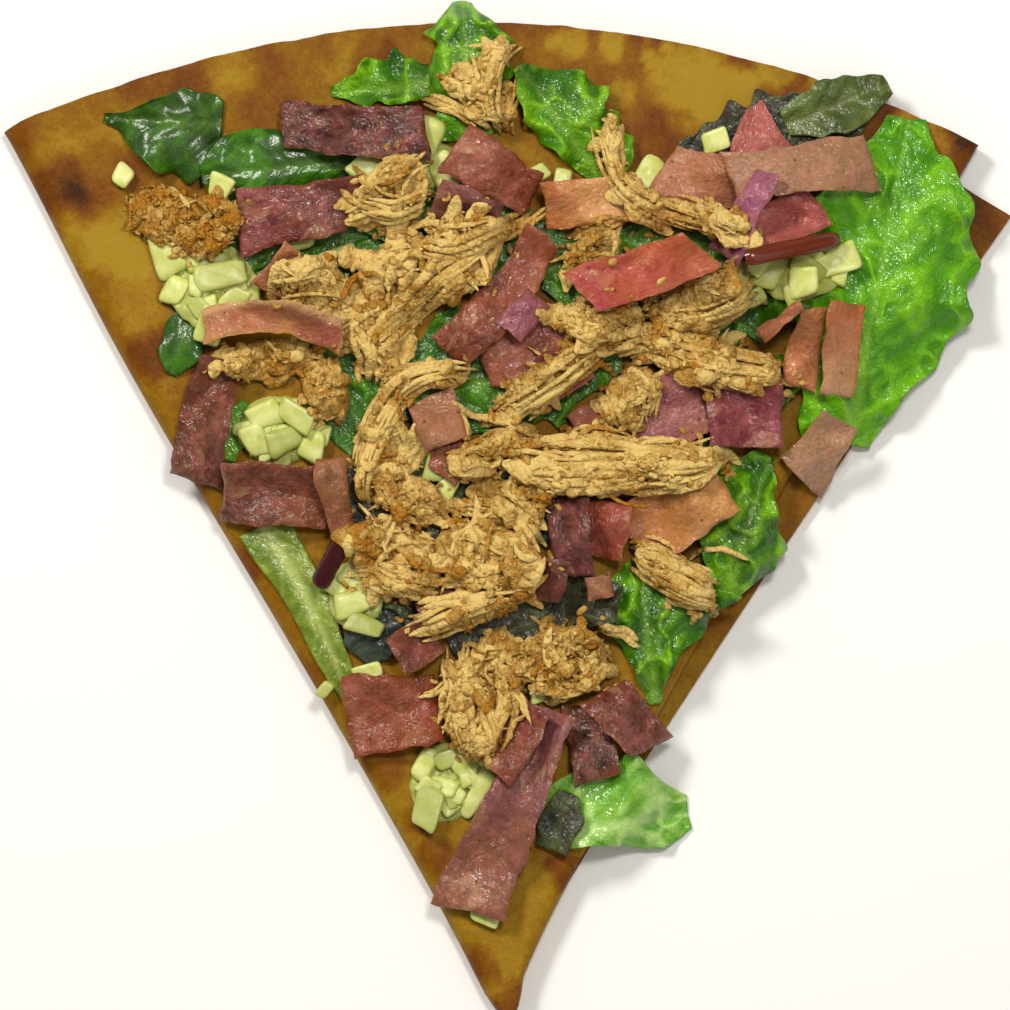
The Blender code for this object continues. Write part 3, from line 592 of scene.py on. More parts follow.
@dataclass(frozen=True)
class HamFinish:
    """Cured ham, fried: crinkled lean meat, pale fat, browned edges and a film of fat.

    Heat leaves it pink to mauve in its middle, tan or orange-brown where it browned. It shrinks
    into fine crinkles, whose crests are paler, and the fat gives them a wet gloss in sparkles.
    """

    lean: str = "#8b3f45"
    far: str = "#8b3f45"
    seared: str = "#8a4a24"
    fat: str = "#c89a72"
    searing: float = 0.5
    fattiness: float = 0.45
    roughness: float = 0.15
    blotch_mm: float = 7.0
    crinkle_mm: float = 2.8
    grain_mm: float = 0.8

    def material(self, name: str) -> Material:
        """The material of one slice.

        Args:
            name: The slice's name.

        Returns:
            The material, which reads the slice's place in mm, its length and its edge.
        """
        made, node = new_material("fried_" + name)
        flat = node(Kind.FLAT)
        place = node(Kind.PLACE)
        run = node(Kind.VALUE, attribute_name="run")
        edge = node(Kind.VALUE, attribute_name="edge")
        blotch = node(Kind.NOISE, place, PER_MM / self.blotch_mm, 4.0, 0.6)
        swing = node(Kind.SCALE_ADD, blotch, 1.4, run)
        swing = node(Kind.RANGE, swing, 0.75, 1.65)
        colour = node(Kind.BLEND, swing, self.lean, self.far)
        stretch = node(Kind.MAPPING, flat, (0.7, 1.0, 1.0))
        crinkle = node(Kind.NOISE, stretch, 1 / self.crinkle_mm, 3.0, 0.6, 0.9)
        fold = node(Kind.PLUS, crinkle, -0.5)
        fold = node(Kind.SIZE, fold)
        crest = node(Kind.RANGE, fold, 0.0, 0.16, 1.0, 0.0)
        grain = node(Kind.NOISE, place, PER_MM / self.grain_mm, 4.0, 0.7)
        deep = node(Kind.MULTIPLY, 1.0, colour, "#8c5a52")
        low = node(Kind.SCALE_ADD, blotch, 0.6, grain)
        low = node(Kind.RANGE, low, 0.86, 0.58, 0.0, 0.45)
        colour = node(Kind.BLEND, low, colour, deep)
        pale = node(Kind.TIMES, crest, 0.1)
        colour = node(Kind.BLEND, pale, colour, self.fat)
        rosy = node(Kind.NOISE, flat, 0.28, 5.0, 0.6)
        rosy = node(Kind.RANGE, rosy, 0.45, 0.65, 0.0, 0.7)
        bright = node(Kind.SCREEN, 1.0, colour, "#844440")
        colour = node(Kind.BLEND, rosy, colour, bright)
        marble = node(Kind.NOISE, stretch, 0.13, 6.0, 0.6, 1.1)
        marble = node(Kind.RANGE, marble, 0.54, 0.66, 0.0, self.fattiness)
        colour = node(Kind.BLEND, marble, colour, self.fat)
        fat = node(Kind.VALUE, attribute_name="fat")
        colour = node(Kind.BLEND, fat, colour, self.fat)
        rim = node(Kind.RANGE, edge, 1.3, 0.0, 0.0, 1.0)
        burnt = node(Kind.SCALE_ADD, blotch, 2.0, -0.95)
        burnt = node(Kind.SCALE_ADD, rim, 0.45, burnt)
        burnt = node(Kind.RANGE, burnt, 0.05, 0.75, 0.0, self.searing)
        colour = node(Kind.BLEND, burnt, colour, self.seared)
        pepper = node(Kind.CELLS, place, PER_MM / 4.5)
        pepper = node(Kind.RANGE, pepper, 0.1, 0.06, 0.0, 0.7)
        colour = node(Kind.BLEND, pepper, colour, "#4a2418")
        relief = node(Kind.SCALE_ADD, crinkle, 2.2, grain)
        bump = node(Kind.BUMP, relief, 1.0, 0.35 * MM)
        rough = node(Kind.RANGE, blotch, 0.35, 0.65, self.roughness - 0.08, self.roughness + 0.06)
        drops = node(Kind.NOISE, place, PER_MM / 1.8, 3.0)
        wet = node(Kind.SCALE_ADD, crinkle, 1.6, drops)
        wet = node(Kind.BUMP, wet, 1.0, 0.7 * MM)
        node(Kind.OUTPUT, node(Kind.SHADER, colour, 0.5, bump, 1.46, 0.08, 0.7, rough, wet))
        return made


@dataclass(frozen=True)
class CheeseFinish:
    """Young cheese in cut pieces, softened by the heat: pale yellow-green, waxy and a little clear."""

    body: str = "#c2ca62"
    light: str = "#e4e89c"
    shade: str = "#8a9238"

    def material(self) -> Material:
        """The material, which reads each piece's tone: how far it is mixed toward the shade colour, as
        painted shade.
        """
        made, node = new_material("young_cheese")
        place = node(Kind.PLACE)
        tone = node(Kind.VALUE, attribute_name="tone")
        cloud = node(Kind.NOISE, place, PER_MM / 3, 3.0)
        cloud = node(Kind.RANGE, cloud, 0.3, 0.7)
        colour = node(Kind.BLEND, cloud, self.body, self.light)
        tone = node(Kind.TIMES, tone, 0.7)
        colour = node(Kind.BLEND, tone, colour, self.shade)
        skin = node(Kind.NOISE, place, PER_MM / 0.9, 2.0)
        bump = node(Kind.BUMP, skin, 0.4, 0.15 * MM)
        glow = {
            "Subsurface Weight": 0.25,
            "Subsurface Radius": (1.0, 0.8, 0.35),
            "Subsurface Scale": 1.5 * MM,
        }
        node(Kind.OUTPUT, node(Kind.SHADER, colour, 0.33, bump, 1.44, sockets=glow))
        return made


@dataclass(frozen=True)
class ChickenFinish:
    """Pulled chicken breast, seasoned and warmed: crumbly cream to golden meat, painted darker in its pits
    as painted shade.

    The seasoning dyes patches orange. Between the crumbs the meat is painted brown, as painted shade.
    It is only a little moist, so that it shines nowhere, but has a soft sheen on its strands.
    """

    cream: str = "#ebcb7c"
    gold: str = "#cc9032"
    orange: str = "#c86c18"
    pit: str = "#4c3008"
    crumb_mm: float = 0.9
    grain_mm: float = 0.5

    def material(self) -> Material:
        """The material, which reads each body's tone and its painted pit shade: how deep each point lies in
        a pit.
        """
        made, node = new_material("pulled_chicken")
        place = node(Kind.PLACE)
        tone = node(Kind.VALUE, attribute_name="tone")
        pit_shade_depth = node(Kind.VALUE, attribute_name="pit")
        patch = node(Kind.NOISE, place, PER_MM / 6, 6.0, 0.7)
        grain = node(Kind.NOISE, place, PER_MM / self.grain_mm, 4.0, 0.7)
        warm = node(Kind.SCALE_ADD, patch, 3.4, -1.75)
        warm = node(Kind.PLUS, warm, tone)
        warm = node(Kind.OPEN_RANGE, warm, -0.1, 1.0)
        mild = node(Kind.LEAST, warm, 1.0)
        colour = node(Kind.BLEND, mild, self.cream, self.gold)
        dyed = node(Kind.SCALE_ADD, grain, 0.8, warm)
        dyed = node(Kind.RANGE, dyed, 1.25, 2.1, 0.0, 0.6)
        colour = node(Kind.BLEND, dyed, colour, self.orange)
        warp = node(Kind.NOISE_COLOUR, place, PER_MM / 1.2)
        bent = node(Kind.STRETCH, warp, 0.9 * MM)
        bent = node(Kind.SHIFT, place, bent)
        # Painted shade: the meat is mixed toward the pit shade colour between the crumbs and deeper in the
        # pits.
        crumb = node(Kind.CELLS, bent, PER_MM / self.crumb_mm)
        pit_shade_depth = node(Kind.TIMES, pit_shade_depth, 0.6)
        hole = node(Kind.SCALE_ADD, crumb, 1.1, pit_shade_depth)
        hole = node(Kind.SCALE_ADD, grain, -1.5, hole)
        hole = node(Kind.RANGE, hole, -0.02, 1.05, 0.0, 0.9)
        crumbly = node(Kind.RANGE, warm, 0.1, 0.7, 0.6)
        hole = node(Kind.TIMES, hole, crumbly)
        colour = node(Kind.BLEND, hole, colour, self.pit)
        relief = node(Kind.SCALE_ADD, crumb, -1.2, grain)
        bump = node(Kind.BUMP, relief, crumbly, 0.8 * MM)
        node(Kind.OUTPUT, node(Kind.SHADER, colour, 0.5, bump, 1.42, 0.2))
        return made


@dataclass(frozen=True)
class StemFinish:
    """A leaf stalk: smooth wet skin with fine ribs along it."""

    name: str
    body: str
    shade: str

    def material(self) -> Material:
        """The material, whose ribs follow the stalk's place in mm."""
        made, node = new_material(self.name)
        flat = node(Kind.FLAT)
        stretch = node(Kind.MAPPING, flat, (0.06, 0.9, 1.0))
        rib = node(Kind.NOISE, stretch, 1.0, 3.0)
        share = node(Kind.RANGE, rib, 0.35, 0.65)
        colour = node(Kind.BLEND, share, self.shade, self.body)
        bump = node(Kind.BUMP, rib, 0.3, 0.3 * MM)
        node(Kind.OUTPUT, node(Kind.SHADER, colour, 0.18, bump, 1.45))
        return made


def piece_of(
    name: str,
    shell: Shell,
    material: Material,
    stands_for: tuple[str, ...] = (),
    crease: float = 180.0,
) -> bpy.types.Object:
    """Makes a piece of the object from a shell, and tells the frame what it is.

    Args:
        name: The piece's name.
        shell: Its mesh, in mm.
        material: Its material.
        stands_for: The CAD nodes that it replaces.
        crease: Edges sharper than this, in degrees, stay sharp.

    Returns:
        The piece.
    """
    mesh = bpy.data.meshes.new(name)
    mesh.vertices.add(len(shell.points))
    mesh.vertices.foreach_set("co", (shell.points * MM).astype(np.float32).ravel())
    mesh.loops.add(shell.faces.size)
    mesh.loops.foreach_set("vertex_index", shell.faces.astype(np.int32).ravel())
    mesh.polygons.add(len(shell.faces))
    mesh.polygons.foreach_set("loop_start", np.arange(0, shell.faces.size, 3, dtype=np.int32))
    mesh.update(calc_edges=True)
    mesh.shade_smooth()
    if crease < 180:
        mesh.set_sharp_from_angle(angle=math.radians(crease))
    for key, numbers in shell.values.items():
        layer = mesh.attributes.new(key, "FLOAT", "POINT")
        layer.data.foreach_set("value", numbers.astype(np.float32))
    if shell.uv is not None:
        layer = mesh.uv_layers.new(name="blade")
        layer.data.foreach_set("uv", shell.uv[shell.faces.ravel()].astype(np.float32).ravel())
    mesh.materials.append(material)
    piece = bpy.data.objects.new(name, mesh)
    bpy.context.scene.collection.objects.link(piece)
    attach(piece, "root")
    if stands_for:
        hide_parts(*stands_for)
    log.info("%s: %d triangles", name, len(shell.faces))
    return piece


# The folded crepe.


class Side(Enum):
    """The three slanted sides that the folded sheet's edges follow."""

    LEFT = 0
    RIGHT = 1
    LOWER = 2


@dataclass
class Crepe:
    """One sheet folded in half and then in thirds, swept from the tip to the rim.

    Attributes:
        rim_radius: From the apex to the rim.
        scorches: Where the plate browned it: x, y, radius and how much; below 0 is pale.
    """

    rim_radius: float = 200.0
    rim_left_more: float = 2.5
    rim_corners_more: float = 2.3
    apex_y: float = -103.5
    tip_start: float = 2.2
    tip_extra: float = 2.8
    tip_fade: float = 12.0
    tip_shift: float = 0.8
    angles: tuple[float, float, float] = (29.4, 28.4, 32.2)
    left_bulge: float = 2.0
    right_hollow: float = 2.6
    lower_hollow: float = 5.0
    lower_shorter: float = 9.0
    layer: float = 2.2
    layer_gap: float = 0.35
    groove: float = 3.0
    wave: float = 0.35
    scorches: tuple[tuple[float, float, float, float], ...] = (
        (-84, 76, 12, -0.30), (-89, 64, 7, 0.45), (-80, 65, 9, 0.35), (-75, 54, 9, -0.45),
        (-84, 52, 5, -0.2), (-72, 40, 8, -0.15), (-66, 42, 4, 0.45), (-70, 30, 6, 0.5),
        (-55, 88, 6, -0.30), (-42, 93, 5, -0.25), (-30, 93, 6, -0.2), (-63, 84, 5, 0.25),
        (-48, 82, 8, 0.2), (-26, 88, 6, 0.3), (12.5, 93, 4, -0.5), (22, 92.5, 3.4, -0.55),
        (28.5, 92.5, 1.5, -0.5), (31.6, 92, 1.5, -0.5), (28.6, 89.6, 1.5, -0.5), (22.5, 82.6, 3.2, -0.35),
        (35, 86, 7.5, -0.62), (43, 82, 7, -0.62), (38, 79, 6, -0.5), (42, 90.6, 2.8, -0.5),
        (48.6, 83.5, 3.2, -0.5), (54.5, 86.6, 4.5, -0.6), (61.5, 84.5, 2.2, -0.5), (32, 74, 8, 0.25),
        (83, 76.4, 5.5, -0.6), (88.4, 72.4, 2.4, -0.4), (80, 72.6, 2.0, -0.3), (92, 74, 3, 0.4),
        (95, 60, 4, 0.3), (76, 24, 6, 0.4), (62, -6, 6, 0.15), (46, -28, 8, 0.1),
        (12, -73, 4.5, 0.5), (4, -66, 6, 0.2), (-17, -63, 4, 0.35), (-14, -70, 4, 0.45),
        (-24, -52, 5, 0.35), (-5, -92, 4, 0.45), (1, -101, 5, 0.5), (4, -86, 5, -0.1),
        (-40, -35, 5, 0.3), (-52, -12, 5, 0.3), (-62, 8, 5, 0.35),
    )

    def path(self) -> dict[str, Array]:
        """The sheet's middle line across the wedge, station by station.

        It runs left along the floor, folds up over the left side, runs right on top, folds
        under at the right and ends in the middle.

        Returns:
            For each station its side, fraction of the half-width, inset, bulge, height, rim
            radius, and the way to the inner face.
        """
        pitch = self.layer + self.layer_gap
        low, middle, high = self.layer / 2, self.layer / 2 + pitch, self.layer / 2 + 2 * pitch
        left_in, right_in = pitch + self.layer / 2, pitch / 2 + self.layer / 2
        left = self.rim_radius + self.rim_corners_more + self.rim_left_more
        right = self.rim_radius + self.rim_corners_more - self.rim_left_more
        parts = []
        t = np.linspace(1, -1, 33)
        rim = right - self.lower_shorter + (left - right + self.lower_shorter) * (1 - t) / 2
        side = np.where(t > 0, Side.LOWER.value, Side.LEFT.value)
        parts.append((side, t, left_in * (t < 0), 0 * t, low + 0 * t, rim, 0 * t, 1 + 0 * t))
        angle = np.radians(np.linspace(-90, 90, 13)[1:-1])
        out, up, one = np.cos(angle), np.sin(angle), np.ones(len(angle))
        side = one * Side.LEFT.value
        parts.append((side, -one, left_in * one, pitch * out, middle + pitch * up, left * one, out, -up))
        t = np.linspace(-1, 1, 151)
        rim = self.rim_radius + self.rim_corners_more * t * t - self.rim_left_more * t
        side = np.where(t < 0, Side.LEFT.value, Side.RIGHT.value)
        inset = np.where(t < 0, left_in, right_in)
        parts.append((side, t, inset, 0 * t, high + 0 * t, rim, 0 * t, -1 + 0 * t))
        angle = np.radians(np.linspace(90, -90, 9)[1:-1])
        out, up, one = np.cos(angle), np.sin(angle), np.ones(len(angle))
        height = (middle + high) / 2 + pitch / 2 * up
        side = one * Side.RIGHT.value
        parts.append((side, one, right_in * one, pitch / 2 * out, height, right * one, -out, -up))
        t = np.linspace(1, -0.8, 27)
        side = np.where(t > 0, Side.RIGHT.value, Side.LEFT.value)
        inset = np.where(t > 0, right_in, left_in)
        parts.append((side, t, inset, 0 * t, middle + 0 * t, right - 4 + 4 * t, 0 * t, 1 + 0 * t))
        names = ("side", "fraction", "inset", "bulge", "height", "rim", "inward_x", "inward_z")
        return {name: np.concatenate(column)[None, :] for name, column in zip(names, zip(*parts))}

    def half_width(self, side: Array, share: Array, run: Array) -> Array:
        """How far each long side lies from the middle line, run mm from the apex.

        Args:
            side: The side's number.
            share: The way from the apex to the rim, 0 to 1.
            run: The same in mm.

        Returns:
            run times the sine of the side's angle, more at the tip, with its bulge or hollow.
        """
        tip = self.tip_extra * np.exp(-run / self.tip_fade) * np.sqrt(np.minimum(1, run / 8))
        sine = np.sin(np.radians(self.angles))[side.astype(int)]
        fade = np.minimum(run / 10, 1) * (1 - share**2.5)
        bulge = self.left_bulge * np.sin(np.pi * share**2) ** 2
        more = np.where(side == Side.RIGHT.value, -self.right_hollow * fade, -self.lower_hollow * fade)
        return run * sine + tip + np.where(side == Side.LEFT.value, bulge, more)

    def surface(self, share: Array, path: dict[str, Array], inward: float) -> Array:
        """Points of the folded sheet, inward mm off its middle line.

        Args:
            share: Column of the way from the apex to the rim, 0 to 1.
            path: The stations across the wedge.
            inward: Towards the inner face if above 0.

        Returns:
            The points, one row of stations for each share.
        """
        run = self.tip_start + share * (path["rim"] - self.tip_start)
        half = self.half_width(path["side"], share, run)
        squeeze = np.minimum(1, half / 7)
        across = path["fraction"] * (half - path["inset"] * squeeze)
        across = across + (np.sign(path["fraction"]) * path["bulge"] + path["inward_x"] * inward) * squeeze
        angle = np.radians(self.angles)[path["side"].astype(int)]
        sagitta = (1 - np.cos(angle)) * (across / half) ** 2
        ripple = 1 + np.sin(across / 13 + run / 21) * np.sin(run / 17)
        on_top = np.clip((path["height"] - 1.5 * self.layer) / (2 * self.layer), 0, 1)
        shift = self.tip_shift * np.exp(-run / self.tip_fade)
        height = path["height"] + path["inward_z"] * inward + self.wave * ripple * on_top * share
        points = stacked(across + shift, self.apex_y + run * (1 - sagitta), height)
        points[..., 2] += 0.16 * on_top * share * fractal(points / 7, 3)
        ragged = smoothstep(0.985, 1, share) * fractal(points / 6, 8)
        return points + stacked(0 * across, 0.5 * ragged, 0.0)

    def build(self, heights: Heights) -> None:
        """Makes the folded sheet and lays it down."""
        path = self.path()
        share = np.concatenate([[0, 0.008, 0.02, 0.04, 0.06], np.linspace(0.08, 1, 128)])[:, None]
        outer = self.surface(share, path, -self.layer / 2)
        inner = self.surface(share, path, self.layer / 2)
        outer[..., 2] = np.where(outer[..., 2] < 0.03, 0, outer[..., 2])
        rows, columns = outer.shape[:2]
        groove = self.surface(np.array([[1 - self.groove / self.rim_radius]]), path, 0.0)
        points = np.concatenate([p.reshape(-1, 3) for p in (outer, inner, groove)])
        skin, count = grid_faces(rows, columns), rows * columns
        start = np.arange(columns - 1)
        faces = [skin[:, ::-1], skin + count]
        faces.append(np.stack([start, start + 1, start + 1 + count], axis=-1))
        faces.append(np.stack([start, start + 1 + count, start + count], axis=-1))
        end, deep = start + (rows - 1) * columns, start + 2 * count
        for edge, way in ((end, 1), (end + count, -1)):
            faces.append(np.stack([edge + 1, edge, deep], axis=-1)[:, ::way])
            faces.append(np.stack([edge + 1, deep, deep + 1], axis=-1)[:, ::way])
        for column, way in ((0, 1), (columns - 1, -1)):
            line = np.arange(rows) * columns + column
            faces.append(np.stack([line[1:], line[:-1], line[:-1] + count], axis=-1)[:, ::way])
            faces.append(np.stack([line[1:], line[:-1] + count, line[1:] + count], axis=-1)[:, ::way])
            faces.append(np.array([(2 * count + column, line[-1], line[-1] + count)])[:, ::way])
        shell = Shell(points, np.concatenate(faces)[:, ::-1])
        shell.values["browning"] = self.browning(points)
        piece_of("crepe_sheet", shell, CrepeFinish().material(), ("crepe",), 60)
        heights.stamp(shell)

    def browning(self, points: Array) -> Array:
        """How brown each point is: each scorch fades from its middle as a bell curve.

        Args:
            points: The sheet's points.

        Returns:
            Below 0 for pale spots, up to about 1 for dark ones, more along the rim.
        """
        total = 0.46 + 0.24 * fractal(points / 16, 5)
        x = points[:, 0] + 1.4 * noise(points / 4, 6)
        y = points[:, 1] + 1.4 * noise(points / 4, 7)
        for middle_x, middle_y, radius, amount in self.scorches:
            far = np.hypot(x - middle_x, y - middle_y) / radius
            total += 1.25 * amount * (1 - smoothstep(0.62, 1.12, far))
        reach = np.hypot(points[:, 0], points[:, 1] - self.apex_y)
        total = total - 0.22 * smoothstep(10, 60, -points[:, 1])
        right = smoothstep(0, 40, points[:, 0])
        right = right * smoothstep(self.rim_radius - 40, self.rim_radius - 10, reach)
        return total + 0.34 * right + 0.3 * smoothstep(self.rim_radius - 5, self.rim_radius, reach)


# Salad.


def along_stations(u: Array, values: tuple[float, ...]) -> Array:
    """Values at even steps from 0 to 1, joined by straight lines that are then rounded off.

    Args:
        u: Where they are wanted.
        values: The values at the steps.

    Returns:
        One value for each u.
    """
    fine = np.linspace(-0.2, 1.2, 281)
    line = np.interp(fine, np.linspace(0, 1, len(values)), values)
    width = int(200 / (len(values) - 1) * 0.7)
    kernel = np.hanning(width + 2)
    rounded = np.convolve(np.pad(line, width, mode="edge"), kernel / kernel.sum(), mode="same")
    return np.interp(u, fine, rounded[width:-width])


@dataclass(frozen=True)
class Leaf:
    """A salad leaf: base and tip of its midrib, and its half-widths to the left and the right of it.

    Attributes:
        bow: How far the midrib swings out to its left.
        lift: How high it arches.
        frill: How high its edges ruffle.
        lobes: How deep its edge is notched, as a share of its half-width.
        lobe_mm: From one notch to the next.
        blister: How high it puckers between its veins, in mm.
    """

    name: str
    finish: LeafFinish
    base: tuple[float, float]
    tip: tuple[float, float]
    left: tuple[float, ...]
    right: tuple[float, ...]
    bow: float = 0.0
    lift: float = 1.5
    frill: float = 1.5
    waves: float = 3.0
    reach: float = 3.0
    lobes: float = 0.14
    lobe_mm: float = 5.5
    blister: float = 0.8
    thick: float = 0.5
    is_node: bool = True

    def build(self, heights: Heights, seed: int, materials: dict[str, Material]) -> None:
        """Makes the blade, drapes it and lays it down.

        The place along the rib is u, from 0 to 1, and across it v, from -1 to 1. The blade's
        edge is its half-width with notches, and its height an arch along the rib, ruffles at
        the edge, puckers between the veins and a sunken rib.

        Args:
            heights: What lies there already.
            seed: The leaf's number.
            materials: The leaf materials by name.
        """
        base, tip = np.array(self.base), np.array(self.tip)
        length = math.hypot(*(tip - base))
        widest = max(self.left) + max(self.right)
        rows, columns = max(16, int(length / 0.5)), max(16, int(widest / 0.5))
        u, v = np.meshgrid(np.linspace(0, 1, rows), np.linspace(-1, 1, columns), indexing="ij")
        half = np.where(v > 0, along_stations(u, self.left), along_stations(u, self.right))
        wave = 2 * np.pi * self.waves * u + seed + 1.3 * (v > 0)
        side = half * v * (1 + 0.06 * np.sin(2 * wave))
        run = length * u
        drift = 1.6 * noise(stacked(run / 9, np.sign(v) * 7.0, seed), seed)
        lobe = noise(stacked((run + drift) / self.lobe_mm * 1.7, np.sign(v) * 4.0, 0.0), seed + 3)
        nick = noise(stacked(run / 1.5, np.sign(v) * 3.0, 0.0), seed + 5)
        edge = np.abs(v) ** 4
        side = side * (1 + self.lobes * edge * (1.2 * lobe + 0.18 * nick))
        end = smoothstep(0.7, 1.0, u)
        run = run + end * self.lobes * length * 0.35 * noise(stacked(side / 3.5, 0 * side, 5.0), seed)
        ruffle = np.abs(v) ** 1.5 * np.sin(np.pi * np.clip(u, 0.08, 0.92))
        rise = self.lift * np.sin(np.pi * u) * (1 - 0.6 * v * v) + self.frill * ruffle * (1 + np.sin(wave))
        crimp = np.abs(v) ** 3 * noise(stacked(run / 2.6, 1.5 * v, 2.0), seed + 7)
        rise = rise + 0.55 * self.frill * crimp
        pucker, rib = self.relief(run, side, u, seed)
        rise = rise + self.blister * (pucker - 0.5) - 0.45 * rib
        swing = side + self.bow * 4 * u * (1 - u)
        turn = math.degrees(math.atan2(*(tip - base)[::-1]))
        x, y = turned(run, swing, turn)
        shell = blanket(heights, x + base[0], y + base[1], rise, self.thick, self.reach)
        shell.values = {"pucker": both(pucker), "rib": both(rib)}
        shell.uv = np.tile(np.stack([run, side], axis=-1).reshape(-1, 2), (2, 1))
        stands_for = (self.name,) if self.is_node else ()
        material = materials[self.finish.name]
        piece_of(self.name + "_leaf", shell, material, stands_for)
        heights.stamp(shell)

    def relief(
        self, run: Array, side: Array, u: Array, seed: int
    ) -> tuple[Array, Array]:
        """The puckers between the veins, and the rib with its side veins.

        A side vein leaves the rib forwards, so its lines are where run minus a share of the
        distance from the rib is a whole number of steps. Puckers are rounded cells.

        Args:
            run: Along the rib, in mm.
            side: Across it, in mm.
            u: Along the rib, 0 to 1.
            seed: The leaf's number.

        Returns:
            Puckers from 0 at a vein to 1, and the rib from 0 to 1 on it.
        """
        off = np.abs(side)
        wander = noise(stacked(run / 7, side / 7, 1.0), seed + 9)
        phase = (run - 1.05 * off + 2.2 * wander) / self.finish.vein_step + 0.5 * (side > 0)
        near = np.abs(phase - np.round(phase)) * self.finish.vein_step
        branch = np.exp(-((near / 0.45) ** 2)) * np.clip(1 - off / 24, 0.2, 1)
        rib = np.exp(-((off / (0.5 + 1.1 * (1 - u))) ** 2)) * (1 - 0.6 * u)
        bend_run = run + 2.2 * noise(stacked(run / 4, side / 4, 11.0), seed)
        bend_side = side + 2.2 * noise(stacked(run / 4, side / 4, 17.0), seed)
        ridge = 1 - np.abs(2 * noise(stacked(bend_run / 5.5, bend_side / 4.5, 3.0), seed))
        small = noise(stacked(bend_run / 1.9, bend_side / 1.7, 5.0), seed + 2)
        swell = smoothstep(0.0, 0.5 * self.finish.vein_step, near) * smoothstep(0.0, 3.0, off)
        pucker = 0.35 * swell + 0.65 * ridge * np.abs(ridge) + 0.25 * small
        return pucker, np.clip(rib + 0.35 * branch, 0, 1)


FRESH = LeafFinish("curly_lettuce", "#5ea600", "#3c8200", "#88cc10", "#98cc40", 2.0, 6.5, 0.5, 0.12, 0.28)
LUSH = LeafFinish("folded_lettuce", "#529000", "#1e5200", "#90cc18", "#98c044", 1.8, 6.5, 0.4, 0.12, 0.3)
TENDER = LeafFinish("baby_leaf", "#2c5a00", "#143200", "#447602", "#749c38", 1.6, 5.0, 0.25, 0.22, 0.06)
GLOSSY = LeafFinish("spinach", "#306402", "#143a00", "#4c8806", "#7aa844", 1.5, 5.0, 0.30, 0.19, 0.06, DARK)
OAK = LeafFinish("oak_leaf", "#484734", "#2c2a28", "#5c663a", "#6c763e", 1.8, 5.0, 0.35, 0.24, 0.35, DARK)
OLIVE = LeafFinish("olive_leaf", "#546428", "#384419", "#748840", "#84924c", 1.8, 5.0, 0.35, 0.22, 0.2, DARK)
BLUE = LeafFinish(
    "dark_oak_leaf", "#39443a", "#1d2422", "#52605a", "#5c6a5c", 1.8, 5.0, 0.3, 0.18, 0.2, DARK
)
STALK = LeafFinish("lettuce_stalk", "#7c8c24", "#567214", "#a0b044", "#bcc872", 2.4, 9.0, 0.9, 0.20, 0.2)
PALE = LeafFinish("pale_lettuce", "#8cc43c", "#529a18", "#ccf090", "#d4f0a4", 2.0, 6.5, 0.6, 0.10, 0.15)
SHADED = LeafFinish("shaded_lettuce", "#3f7806", "#1f4c00", "#5f9418", "#7ca040", 2.0, 6.5, 0.4, 0.2, 0.3)

